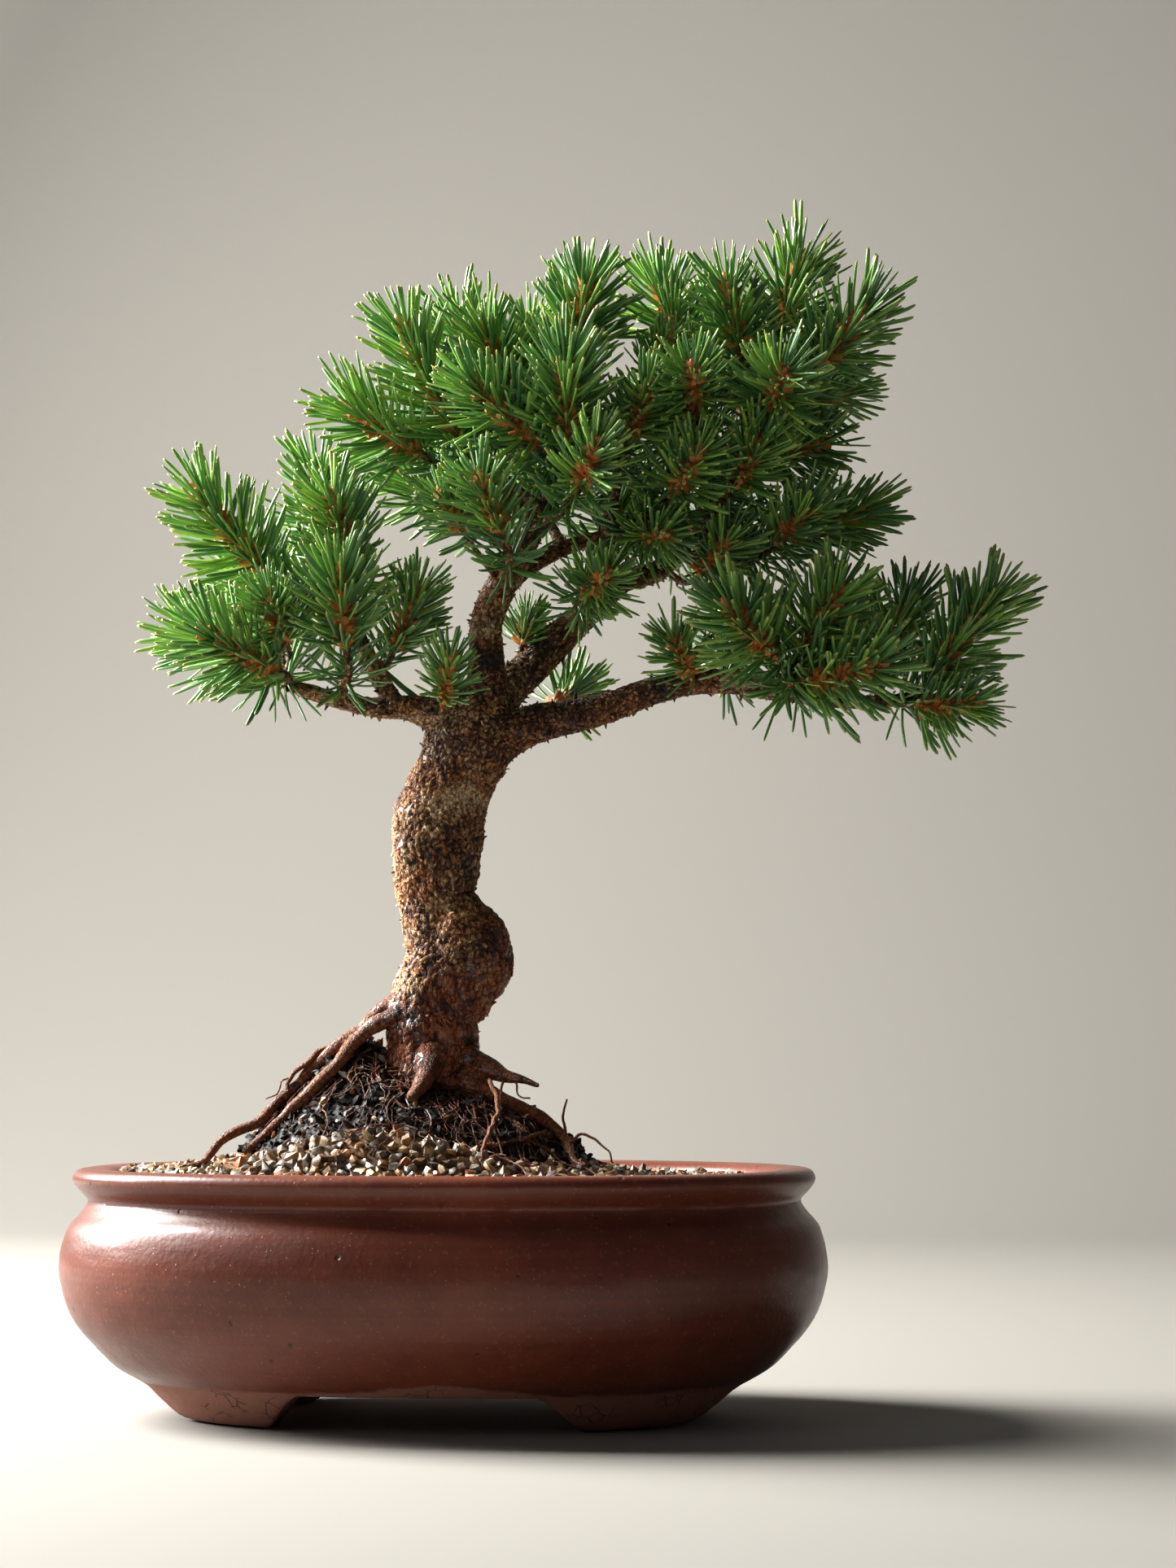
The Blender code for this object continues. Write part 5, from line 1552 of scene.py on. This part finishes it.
    def flake(self, dice: random.Random) -> Any:
        """Makes one thin scale of bark that lies nearly flat, with one end curled up."""
        bm = bmesh.new()
        length, width = dice.uniform(0.0013, 0.0024), dice.uniform(0.0009, 0.0015)
        curl = dice.uniform(0.1, 0.4)
        rows = []
        for share in (0.0, 0.35, 0.75, 1.0):
            half = width * (0.65 + 0.7 * share - 0.95 * share * share) / 2
            lift = 0.00008 + length * curl * share * share
            rows.append([bm.verts.new((x, length * (share - 0.4), lift - 0.12 * width * abs(x) / half))
                         for x in (-half, dice.uniform(-0.3, 0.3) * half, half)])
        for lower, upper in zip(rows, rows[1:]):
            for column in range(2):
                bm.faces.new((lower[column], lower[column + 1], upper[column + 1], upper[column]))
        body = bmesh.ops.extrude_face_region(bm, geom=bm.faces[:])
        moved = [item for item in body["geom"] if isinstance(item, bmesh.types.BMVert)]
        bmesh.ops.translate(bm, vec=(0.0, 0.0, -dice.uniform(0.0002, 0.0004)), verts=moved)
        mesh = mesh_from(bm, "flake")
        set_attribute(mesh, "relief", [0.48 + 0.22 * (vert.co.y / length + 0.4) for vert in mesh.vertices])
        return shade(mesh, 50.0)

    def thorn(self, dice: random.Random) -> Any:
        """Makes the short stub that a fallen needle or twig leaves on a limb."""
        bm = bmesh.new()
        length = dice.uniform(0.0012, 0.0024)
        made = bmesh.ops.create_cone(bm, cap_ends=True, segments=6, radius1=0.00065, radius2=0.00018,
                                     depth=length)
        for vert in made["verts"]:
            vert.co.z += 0.4 * length
            vert.co.x += 0.35 * vert.co.z ** 2 / length
        mesh = mesh_from(bm, "thorn")
        set_attribute(mesh, "relief", [0.36] * len(mesh.vertices))
        return shade(mesh, 60.0)

    def blended(self, mesh: Any, weights: np.ndarray, rounds: int) -> None:
        """Evens out a part of a skin, so that swellings flow into each other.

        Args:
            mesh: The skin.
            weights: How much each point gives way, 0 to 1.
            rounds: How often.
        """
        ends = np.empty(len(mesh.edges) * 2, dtype=np.int32)
        mesh.edges.foreach_get("vertices", ends)
        first, second = ends.reshape(-1, 2).T
        places = read_points(mesh)
        count = np.bincount(ends, minlength=len(places))[:, None]
        pull = weights[:, None] * 0.6
        for _ in range(rounds):
            total = np.stack([np.bincount(first, places[second, axis], len(places))
                              + np.bincount(second, places[first, axis], len(places))
                              for axis in range(3)], axis=1)
            places += pull * (total / count - places)
        mesh.vertices.foreach_set("co", places.ravel())
        mesh.update()

    def trunk_with_starts(self) -> bmesh.types.BMesh:
        """Makes the trunk, its burl, its roots and the limbs' first stretches."""
        bm = self.tubes(lambda name: name == "trunk" or name.startswith("root_"))
        for name in LIMBS:
            whole = next(strand for strand in self.strands if strand.name == name)
            if Vector(whole.rows[0][:3]).z < 0.2195:
                rows = [(*row[:3], row[3] * 0.97) for row in whole.rows[:9]]
                self.add_tube(bm, Strand(name + "_start", rows, 0.75, 0.0, 20))
        self.add_burl(bm)
        return bm

    def build(self, bench: Bench) -> None:
        """Makes the skins, their relief and the loose scales."""
        self.plan()
        finish = BarkFinish().build()
        relief = self.relief_tree()
        dice = random.Random(17)
        scales = variant_set("flake", [self.flake(dice) for _ in range(7)])
        thorns = variant_set("thorn", [self.thorn(dice) for _ in range(4)])
        peel = scatter_tree("bark_scales")
        limbs = self.tubes(lambda name: name in LIMBS)
        twigs = self.tubes(lambda name: name.startswith("twig_"))
        skins = (("trunk_and_roots", self.trunk_with_starts(), 0.00053, 2, scales, 0.0017, 0.45, ("trunk",)),
                 ("limbs", limbs, 0.0005, 3, scales, 0.0019, 0.5, ()),
                 ("twigs", twigs, 0.00056, 2, thorns, 0.003, 0.7, ()))
        for name, bm, voxel, rounds, shapes, spacing, tilt, stands_for in skins:
            skin = self.remeshed(bm, name, voxel, rounds)
            if stands_for:
                at = read_points(skin)
                near = np.exp(-((at[:, 0] - 0.005) / 0.022) ** 2 - ((at[:, 2] - 0.147) / 0.022) ** 2)
                self.blended(skin, np.clip(1.6 * near - 0.25, 0.0, 1.0) * (at[:, 2] > 0.126), 6)
            self.mark(skin)
            skin = relief.run(skin, {"Depth": 0.0015, "Plate Scale": 520.0, "Material": finish})
            loose = peel.run(skin, {"Shapes": shapes, "Spacing": spacing, "Least Size": 0.45,
                                    "Greatest Size": 1.25, "Tilt": tilt, "Seed": 7, "Material": finish})
            bench.add(name + "_scales", loose, Slot.BARK)
            if name == "limbs":
                stubs = peel.run(skin, {"Shapes": thorns, "Spacing": 0.005, "Least Size": 0.6,
                                        "Greatest Size": 1.4, "Tilt": 0.5, "Seed": 12, "Material": finish})
                bench.add("limb_thorns", stubs, Slot.BARK)
            bench.add(name, shade(skin), Slot.BARK, stands_for)

    def add_burl(self, bm: bmesh.types.BMesh) -> None:
        """Adds the swelling on the trunk's right side, and the shoulder that leads into it."""
        shoulder = ((0.0045, -0.0015, 0.1475), (0.0118, 0.012, 0.0165))
        heel = ((0.006, -0.001, 0.133), (0.0095, 0.0118, 0.012))
        for number, (centre, half) in enumerate((self.burl, shoulder, heel)):
            made = bmesh.ops.create_uvsphere(bm, u_segments=32, v_segments=24, radius=1.0)["verts"]
            for vert in made:
                place = vert.co
                swell = 1.0 + 0.1 * wobble(place.x, place.y, place.z, 0.55, 2.0 + number)
                vert.co = Vector(at + reach * part * swell for at, reach, part in zip(centre, half, place))


@dataclass
class Rootlets:
    """The hair-thin roots that run over the mound and hang from the thick ones."""

    ground: Ground
    runners: int = 260
    seed: int = 67

    def runner(self, dice: random.Random) -> list[Row]:
        """Gives the rows of one root hair that wanders down the mound."""
        turn = dice.uniform(0.0, 2.0 * math.pi)
        out = dice.uniform(0.012, 0.042)
        x, y = -0.006 + out * math.cos(turn), 0.85 * out * math.sin(turn)
        thick = dice.choice((0.00018, 0.00022, 0.00028, 0.00044))
        heading = self.ground.downhill(x, y)
        heading = heading.normalized() if heading.length > 0.02 else Vector((math.cos(turn), math.sin(turn)))
        heading.rotate(Matrix.Rotation(dice.gauss(0.0, 0.6), 2))
        steps = dice.randint(10, 26)
        hump, phase = dice.uniform(0.0002, 0.0016), dice.uniform(0.0, 6.3)
        rows = []
        for step in range(steps):
            lift = hump * abs(math.sin(phase + step * 0.45)) + thick
            rows.append((x, y, self.ground.height(x, y) + lift, thick * (1.0 - 0.6 * step / steps)))
            heading.rotate(Matrix.Rotation(dice.gauss(0.0, 0.5), 2))
            fall = self.ground.downhill(x, y)
            if fall.length > 0.05:
                heading = (heading + 0.1 * fall.normalized()).normalized()
            x += 0.0018 * heading.x
            y += 0.0018 * heading.y
        return rows

    def tree(self) -> GeometryTree:
        """Builds the tree that gives the hairs their thickness."""
        tree = GeometryTree("root_hairs", {"Corners": 6})
        line = tree.add("GeometryNodeMeshToCurve", {}, {"Mesh": tree.given()})
        skin = tree.tube(line, tree.given("Corners"), tree.read("thick"))
        place = tree.add("GeometryNodeInputPosition")
        skin = tree.store(skin, "grain", place, "FLOAT_VECTOR")
        skin = tree.store(skin, "relief", tree.noise(place, 500.0) * 0.5 + 0.1)
        tree.close(tree.add("GeometryNodeSetShadeSmooth", {}, {"Geometry": skin}))
        return tree

    def build(self, bench: Bench) -> None:
        """Makes the hairs."""
        dice = random.Random(self.seed)
        hairs = [(self.runner(dice), dice.choice((0.0, 0.0, 0.0, 0.15, 0.6))) for _ in range(self.runners)]
        for rows in map(metres, WHISKERS):
            bent = [(x + 0.0007 * wobble(x, y, z, 0.003, 5.5), y,
                     z + 0.0007 * wobble(x, y, z, 0.003, 9.5), thick)
                    for x, y, z, thick in curve_through(rows, 0.0011)]
            hairs.append((bent, 0.9))
        roots = [root for _, root in hairs]
        lines = line_mesh("hair_lines", [[row[:3] for row in rows] for rows, _ in hairs], {
            "thick": [[row[3] for row in rows] for rows, _ in hairs], "root": roots,
            "wet": [1.0 - root for root in roots], "bare": [0.0] * len(roots)})
        made = self.tree().run(lines, {"Material": BarkFinish().build()})
        bench.add("root_hairs", made, Slot.BARK)


# ---- the foliage ----
@dataclass
class Foliage:
    """The shoots: scaly stems, pairs of needles set round them in a spiral, and buds."""

    pairs: int = 62
    needle_length: float = 0.021
    needle_width: float = 0.0015
    needle_depth: float = 0.00072
    full_stem: float = 0.024
    base_tilt: float = 1.27
    tip_tilt: float = 0.58
    bend: float = 0.0016
    curl: float = 1.7
    line_start: float = 0.04
    line_end: float = 0.97
    old_stretch: float = 0.018
    old_pairs: float = 1250.0
    tints: int = 16

    def needle_pair(self) -> Any:
        """Makes the two needles of one sheath, with their map."""
        rings = ((0.0, 0.45), (0.1, 0.85), (0.5, 1.0), (0.86, 0.94), (0.965, 0.72))
        sides = 6
        bm = bmesh.new()
        uv = bm.loops.layers.uv.new(BAKE_MAP)
        places: dict[Any, float] = {}
        for lean in (-1.0, 1.0):
            loops = []
            for along, wide in rings:
                spread = lean * (0.00035 + self.needle_length * (0.1 * along + 0.035 * along * along))
                ring = []
                for corner in range(sides):
                    angle = 2.0 * math.pi * corner / sides
                    y = self.needle_width / 2 * wide * math.cos(angle)
                    x = self.needle_depth / 2 * wide * math.sin(angle) * 1.15
                    vert = bm.verts.new((spread + x, y, self.needle_length * along))
                    places[vert] = along
                    ring.append(vert)
                loops.append(ring)
            tip = bm.verts.new((lean * (0.00035 + self.needle_length * 0.135), 0.0, self.needle_length))
            places[tip] = 1.0
            bridge(bm, loops)
            for corner in range(sides):
                bm.faces.new((loops[-1][corner], loops[-1][(corner + 1) % sides], tip))
            bm.faces.new(loops[0][::-1])
        bmesh.ops.recalc_face_normals(bm, faces=bm.faces)
        for face in bm.faces:
            for loop in face.loops:
                across = 0.5 + 0.46 * max(-1.0, min(1.0, loop.vert.co.y / (self.needle_width / 2)))
                loop[uv].uv = (places[loop.vert] * 0.98 + 0.01, across / self.tints)
        bm.verts.index_update()
        along_values = [places[vert] for vert in bm.verts]
        mesh = mesh_from(bm, "needle_pair", False)
        set_attribute(mesh, "along", along_values)
        return shade(mesh)

    def stem_lines(self, shoots: Sequence[tuple[Vector, Vector]]) -> Any:
        """Makes the centre lines of stems, with the attributes `growth` and `count`, from their ends."""
        lines, growths, counts = [], [], []
        for base, tip in shoots:
            length = (tip - base).length
            sag = Vector((wobble(*base, 0.013, 3.0), wobble(*base, 0.013, 7.0), -0.4)) * 0.0012
            shares = [self.line_start + (self.line_end - self.line_start) * step / 6 for step in range(7)]
            lines.append([base.lerp(tip, share) + sag * math.sin(math.pi * share) for share in shares])
            growths.append(min(1.0, max(0.5, length / self.full_stem)))
            counts.append(max(14.0, self.pairs * (0.35 + 0.65 * length / self.full_stem)))
        return line_mesh("stem_lines", lines, {"growth": growths, "count": counts})

    def whorl(self, tree: GeometryTree) -> tuple[Term, Term, Term]:
        """Adds the nodes that set out the spiral that needles and sheaths share.

        Args:
            tree: The tree, whose geometry is the stems' lines.

        Returns:
            The points, each point's rotation, and its share of the way up the stem.
        """
        count = tree.add("FunctionNodeFloatToInt", {}, {"Float": tree.read("count")})
        line = tree.add("GeometryNodeMeshToCurve", {}, {"Mesh": tree.given()})
        line = tree.add("GeometryNodeResampleCurve", {"mode": "COUNT"}, {"Curve": line, "Count": count})
        spot = tree.add("GeometryNodeSplineParameter", {}, {}, "Factor")
        line = tree.store(line, "share", spot)
        line = tree.store(line, "turn", spot.out("Index"))
        way = tree.add("GeometryNodeInputTangent")
        line = tree.store(line, "way", way, "FLOAT_VECTOR")
        share = tree.read("share")
        spin = tree.read("turn") * GOLDEN_ANGLE + tree.chance(-0.35, 0.35, 21)
        nod = tree.given("Base Tilt") + (tree.given("Tip Tilt") - tree.given("Base Tilt")) * share ** 1.25
        nod = nod + tree.chance(-0.24, 0.24, 22)
        rotation = tree.turned(tree.facing(way), 0.0, 0.0, spin)
        rotation = tree.turned(rotation, nod, 0.0, 0.0)
        rotation = tree.turned(rotation, 0.0, 0.0, tree.chance(-1.2, 1.2, 23))
        return line, rotation, share

    def needle_tree(self) -> GeometryTree:
        """Builds the tree that sets needle pairs round the stems."""
        tree = GeometryTree("needle_whorls", {"Pair": "Object", "Base Tilt": self.base_tilt,
                                              "Tip Tilt": self.tip_tilt, "Bend": self.bend, "Dark": 0.0})
        line, rotation, share = self.whorl(tree)
        pair = tree.add("GeometryNodeObjectInfo", {}, {"Object": tree.given("Pair")}, "Geometry")
        growth = tree.read("growth")
        reach = growth * (1.0 - share * 0.24) * tree.chance(0.8, 1.14, 24)
        width = (0.45 + growth * 0.55) * tree.chance(0.86, 1.12, 25)
        scale = tree.xyz(width, width, reach)
        placed = tree.add("GeometryNodeInstanceOnPoints", {},
                          {"Points": line, "Instance": pair, "Rotation": rotation, "Scale": scale})
        whim = tree.chance((-1.0, -1.0, -0.7), (1.0, 1.0, 1.3), 26, "FLOAT_VECTOR")
        whim = tree.vector("ADD", whim, tree.scaled(tree.read("way", "FLOAT_VECTOR"), self.curl))
        placed = tree.store(placed, "bend", whim, "FLOAT_VECTOR", "INSTANCE")
        # Dark pulls the tint towards the dark, bluish end: on last year's needles inside the crown this is
        # partly their older colour and partly painted shade.
        tint = tree.chance(0.0, 1.0, 27) * tree.chance(0.4, 1.0, 28) * (1.0 - tree.given("Dark"))
        row = tree.math("FLOOR", tint * float(self.tints)) / float(self.tints)
        placed = tree.label(placed, "row", row)
        real = tree.realized(placed)
        along = tree.read("along")
        sway = tree.scaled(tree.read("bend", "FLOAT_VECTOR"),
                           along * along * tree.given("Bend") * tree.read("growth"))
        real = tree.add("GeometryNodeSetPosition", {}, {"Geometry": real, "Offset": sway})
        shift = tree.xyz(0.0, tree.read("row"), 0.0)
        mapped = tree.vector("ADD", tree.read(BAKE_MAP, "FLOAT_VECTOR"), shift)
        tree.close(tree.store(real, BAKE_MAP, mapped, "FLOAT2", "CORNER"))
        return tree

    def sheath(self) -> Any:
        """Makes the papery sheath at the foot of a needle pair, with a scale beneath it."""
        bm = bmesh.new()
        rings = []
        for z, radius in ((0.0, 0.00065), (0.002, 0.001), (0.0044, 0.00088)):
            rings.append([bm.verts.new((1.25 * radius * math.cos(2 * math.pi * k / 6),
                                        radius * math.sin(2 * math.pi * k / 6), z)) for k in range(6)])
        bridge(bm, rings)
        bm.faces.new(rings[0][::-1])
        bm.faces.new(rings[-1])
        # A small brown scale leans out under the sheath.
        root = [bm.verts.new((x, -0.0004, 0.0006)) for x in (-0.0006, 0.0006)]
        back = [bm.verts.new((x, -0.0012, 0.0006)) for x in (-0.0004, 0.0004)]
        point = bm.verts.new((0.0, -0.0019, 0.0026))
        bm.faces.new((root[0], root[1], point))
        bm.faces.new((back[1], back[0], point))
        bm.faces.new((root[1], back[1], point))
        bm.faces.new((back[0], root[0], point))
        bm.faces.new((root[0], back[0], back[1], root[1]))
        return shade(mesh_from(bm, "sheath"), 60.0)

    def bud_cluster(self, buds: int, dice: random.Random) -> Any:
        """Makes a tight group of scaly, egg-shaped buds.

        Args:
            buds: How many buds stand round the middle one.
            dice: The source of chance.

        Returns:
            The mesh, with its middle bud along Z from the origin.
        """
        bm = bmesh.new()
        eggs = [(Vector((0.0, 0.0, 1.0)), 0.0017, 0.0052, 0.0)]
        for index in range(buds):
            turn = 2.0 * math.pi * (index + dice.uniform(-0.2, 0.2)) / max(1, buds)
            lean = dice.uniform(0.45, 0.75)
            way = Vector((math.sin(lean) * math.cos(turn), math.sin(lean) * math.sin(turn), math.cos(lean)))
            eggs.append((way, dice.uniform(0.0009, 0.0013), dice.uniform(0.0028, 0.004), 0.0006))
        sides, rings = 8, 6
        for way, radius, length, start in eggs:
            turn_to = Vector((0.0, 0.0, 1.0)).rotation_difference(way).to_matrix()
            made = bmesh.ops.create_uvsphere(bm, u_segments=sides, v_segments=rings, radius=1.0)["verts"]
            for vert in made:
                share = (vert.co.z + 1.0) / 2.0
                angle = math.atan2(vert.co.y, vert.co.x)
                scales = 1.0 + 0.16 * math.sin(4.0 * angle + 14.0 * share)
                taper = 1.15 - 0.45 * share
                shaped = Vector((vert.co.x * radius * taper * scales, vert.co.y * radius * taper * scales,
                                 share * length))
                vert.co = turn_to @ shaped + way * start
        return shade(mesh_from(bm, "bud_cluster"), 45.0)

    def stem_tree(self) -> GeometryTree:
        """Builds the tree that gives stems their skin, sheaths and buds."""
        tree = GeometryTree("scaly_stems", {"Sheath": "Object", "Buds": "Collection",
                                            "Base Tilt": self.base_tilt, "Tip Tilt": self.tip_tilt})
        line, rotation, share = self.whorl(tree)
        growth = tree.read("growth")
        sheath = tree.add("GeometryNodeObjectInfo", {}, {"Object": tree.given("Sheath")}, "Geometry")
        size = (0.55 + growth * 0.45) * tree.chance(0.8, 1.25, 31)
        papers = tree.add("GeometryNodeInstanceOnPoints", {},
                          {"Points": line, "Instance": sheath, "Rotation": rotation, "Scale": size})
        papers = tree.label(papers, "tint", tree.chance(0.1, 1.0, 32))
        papers = tree.label(papers, "part", tree.chance(0.0, 0.35, 33))
        knobs = tree.noise(tree.add("GeometryNodeInputPosition"), 900.0, 2.0)
        radius = (0.00155 - share * 0.0004) * growth * (0.75 + knobs * 0.5)
        skin = tree.store(tree.tube(line, 8, radius), "tint", knobs)
        skin = tree.store(skin, "part", 0.0)
        end = tree.add("GeometryNodeCurveEndpointSelection", {}, {"Start Size": 0, "End Size": 1})
        ahead = tree.facing(tree.add("GeometryNodeInputTangent"))
        heads = tree.add("GeometryNodeInstanceOnPoints", {}, {
            "Points": line, "Selection": end, "Instance": tree.variants("Buds"), "Pick Instance": True,
            "Instance Index": tree.chance(0, 100, 34, "INT"),
            "Rotation": tree.turned(ahead, 0.0, 0.0, tree.chance(0.0, 6.28, 35)),
            "Scale": growth * tree.chance(0.85, 1.35, 36)})
        heads = tree.label(heads, "tint", tree.chance(0.1, 1.0, 37))
        heads = tree.label(heads, "part", 1.0)
        tree.close(tree.add("GeometryNodeJoinGeometry", {}, {"Geometry": [skin, papers, heads]}))
        return tree

    def old_lines(self, twigs: Sequence[Strand]) -> Any:
        """Makes the lines along which last year's needles stand: the outer ends of the twigs."""
        lines, growths, counts = [], [], []
        for number, twig in enumerate(twigs):
            places = [Vector(row[:3]) for row in twig.rows]
            whole = sum((after - before).length for before, after in zip(places, places[1:]))
            kept, run = [places[-1]], 0.0
            for place in reversed(places[:-1]):
                run += (place - kept[-1]).length
                kept.append(place)
                if run >= min(self.old_stretch, 0.8 * whole):
                    break
            lines.append(kept[::-1])
            growths.append(0.86 + 0.1 * math.sin(2.3 * number))
            counts.append(max(4.0, self.old_pairs * run))
        return line_mesh("old_lines", lines, {"growth": growths, "count": counts})

    def build(self, bench: Bench, twigs: Sequence[Strand]) -> None:
        """Makes the needles and the stems of every group of shoots, and the old needles.

        Args:
            bench: Where the pieces go.
            twigs: The twigs that carry last year's needles.
        """
        dice = random.Random(23)
        pair = bpy.data.objects.new("needle_pair", self.needle_pair())
        sheath = bpy.data.objects.new("sheath", self.sheath())
        buds = variant_set("bud", [self.bud_cluster(count, dice) for count in (0, 2, 3, 4, 3)])
        needles, stems = self.needle_tree(), self.stem_tree()
        needle_finish, scale_finish = NeedleFinish(self.tints).build(), ScaleFinish().build()
        for group, rows in SHOOTS.items():
            lines = self.stem_lines(shoot_ends((*rows, *TUFTS.get(group, ()))))
            shown = [f"shoot_{group}_{number}" for number in range(1, len(rows) + 1)]
            made = needles.run(lines, {"Pair": pair, "Material": needle_finish})
            bench.add("needles_" + group, made, Slot.NEEDLE, shown)
            made = stems.run(lines, {"Sheath": sheath, "Buds": buds, "Material": scale_finish})
            bench.add("stems_" + group, made, Slot.BUD)
        # Last year's needles are darkened by Dark: partly their older colour, partly painted shade inside
        # the crown.
        made = needles.run(self.old_lines(twigs), {"Pair": pair, "Material": needle_finish, "Base Tilt": 1.3,
                                                   "Tip Tilt": 1.0, "Dark": 0.35})
        bench.add("needles_old_growth", made, Slot.NEEDLE)


def dress_hidden_nodes(bench: Bench) -> None:
    """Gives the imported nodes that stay, inside and under the pot, their finishes."""
    hardware = HardwareFinish()
    finishes = {"soil": SoilFinish().build("packed_soil", 0.4), "drain_mesh": hardware.plastic(),
                "drain_clip": hardware.wire()}
    for name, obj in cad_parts.items():
        for start, finish in finishes.items():
            if name.startswith(start):
                for place in obj.material_slots:
                    place.material = finish


def main() -> None:
    """Builds the studio and every piece, and notes the sizes."""
    logging.basicConfig(level=logging.INFO, format="%(name)s: %(message)s")
    bench = Bench()
    Studio(bench.centre).build()
    pot = Pot()
    pot.build(bench)
    ground = Ground(pot)
    Bed(ground).build(bench)
    wood = Wood(ground)
    wood.build(bench)
    Rootlets(ground).build(bench)
    Foliage().build(bench, [strand for strand in wood.strands
                            if strand.name.startswith("twig_") and strand.name != TUFT_TWIG])
    dress_hidden_nodes(bench)


if __name__ == "__main__":
    main()
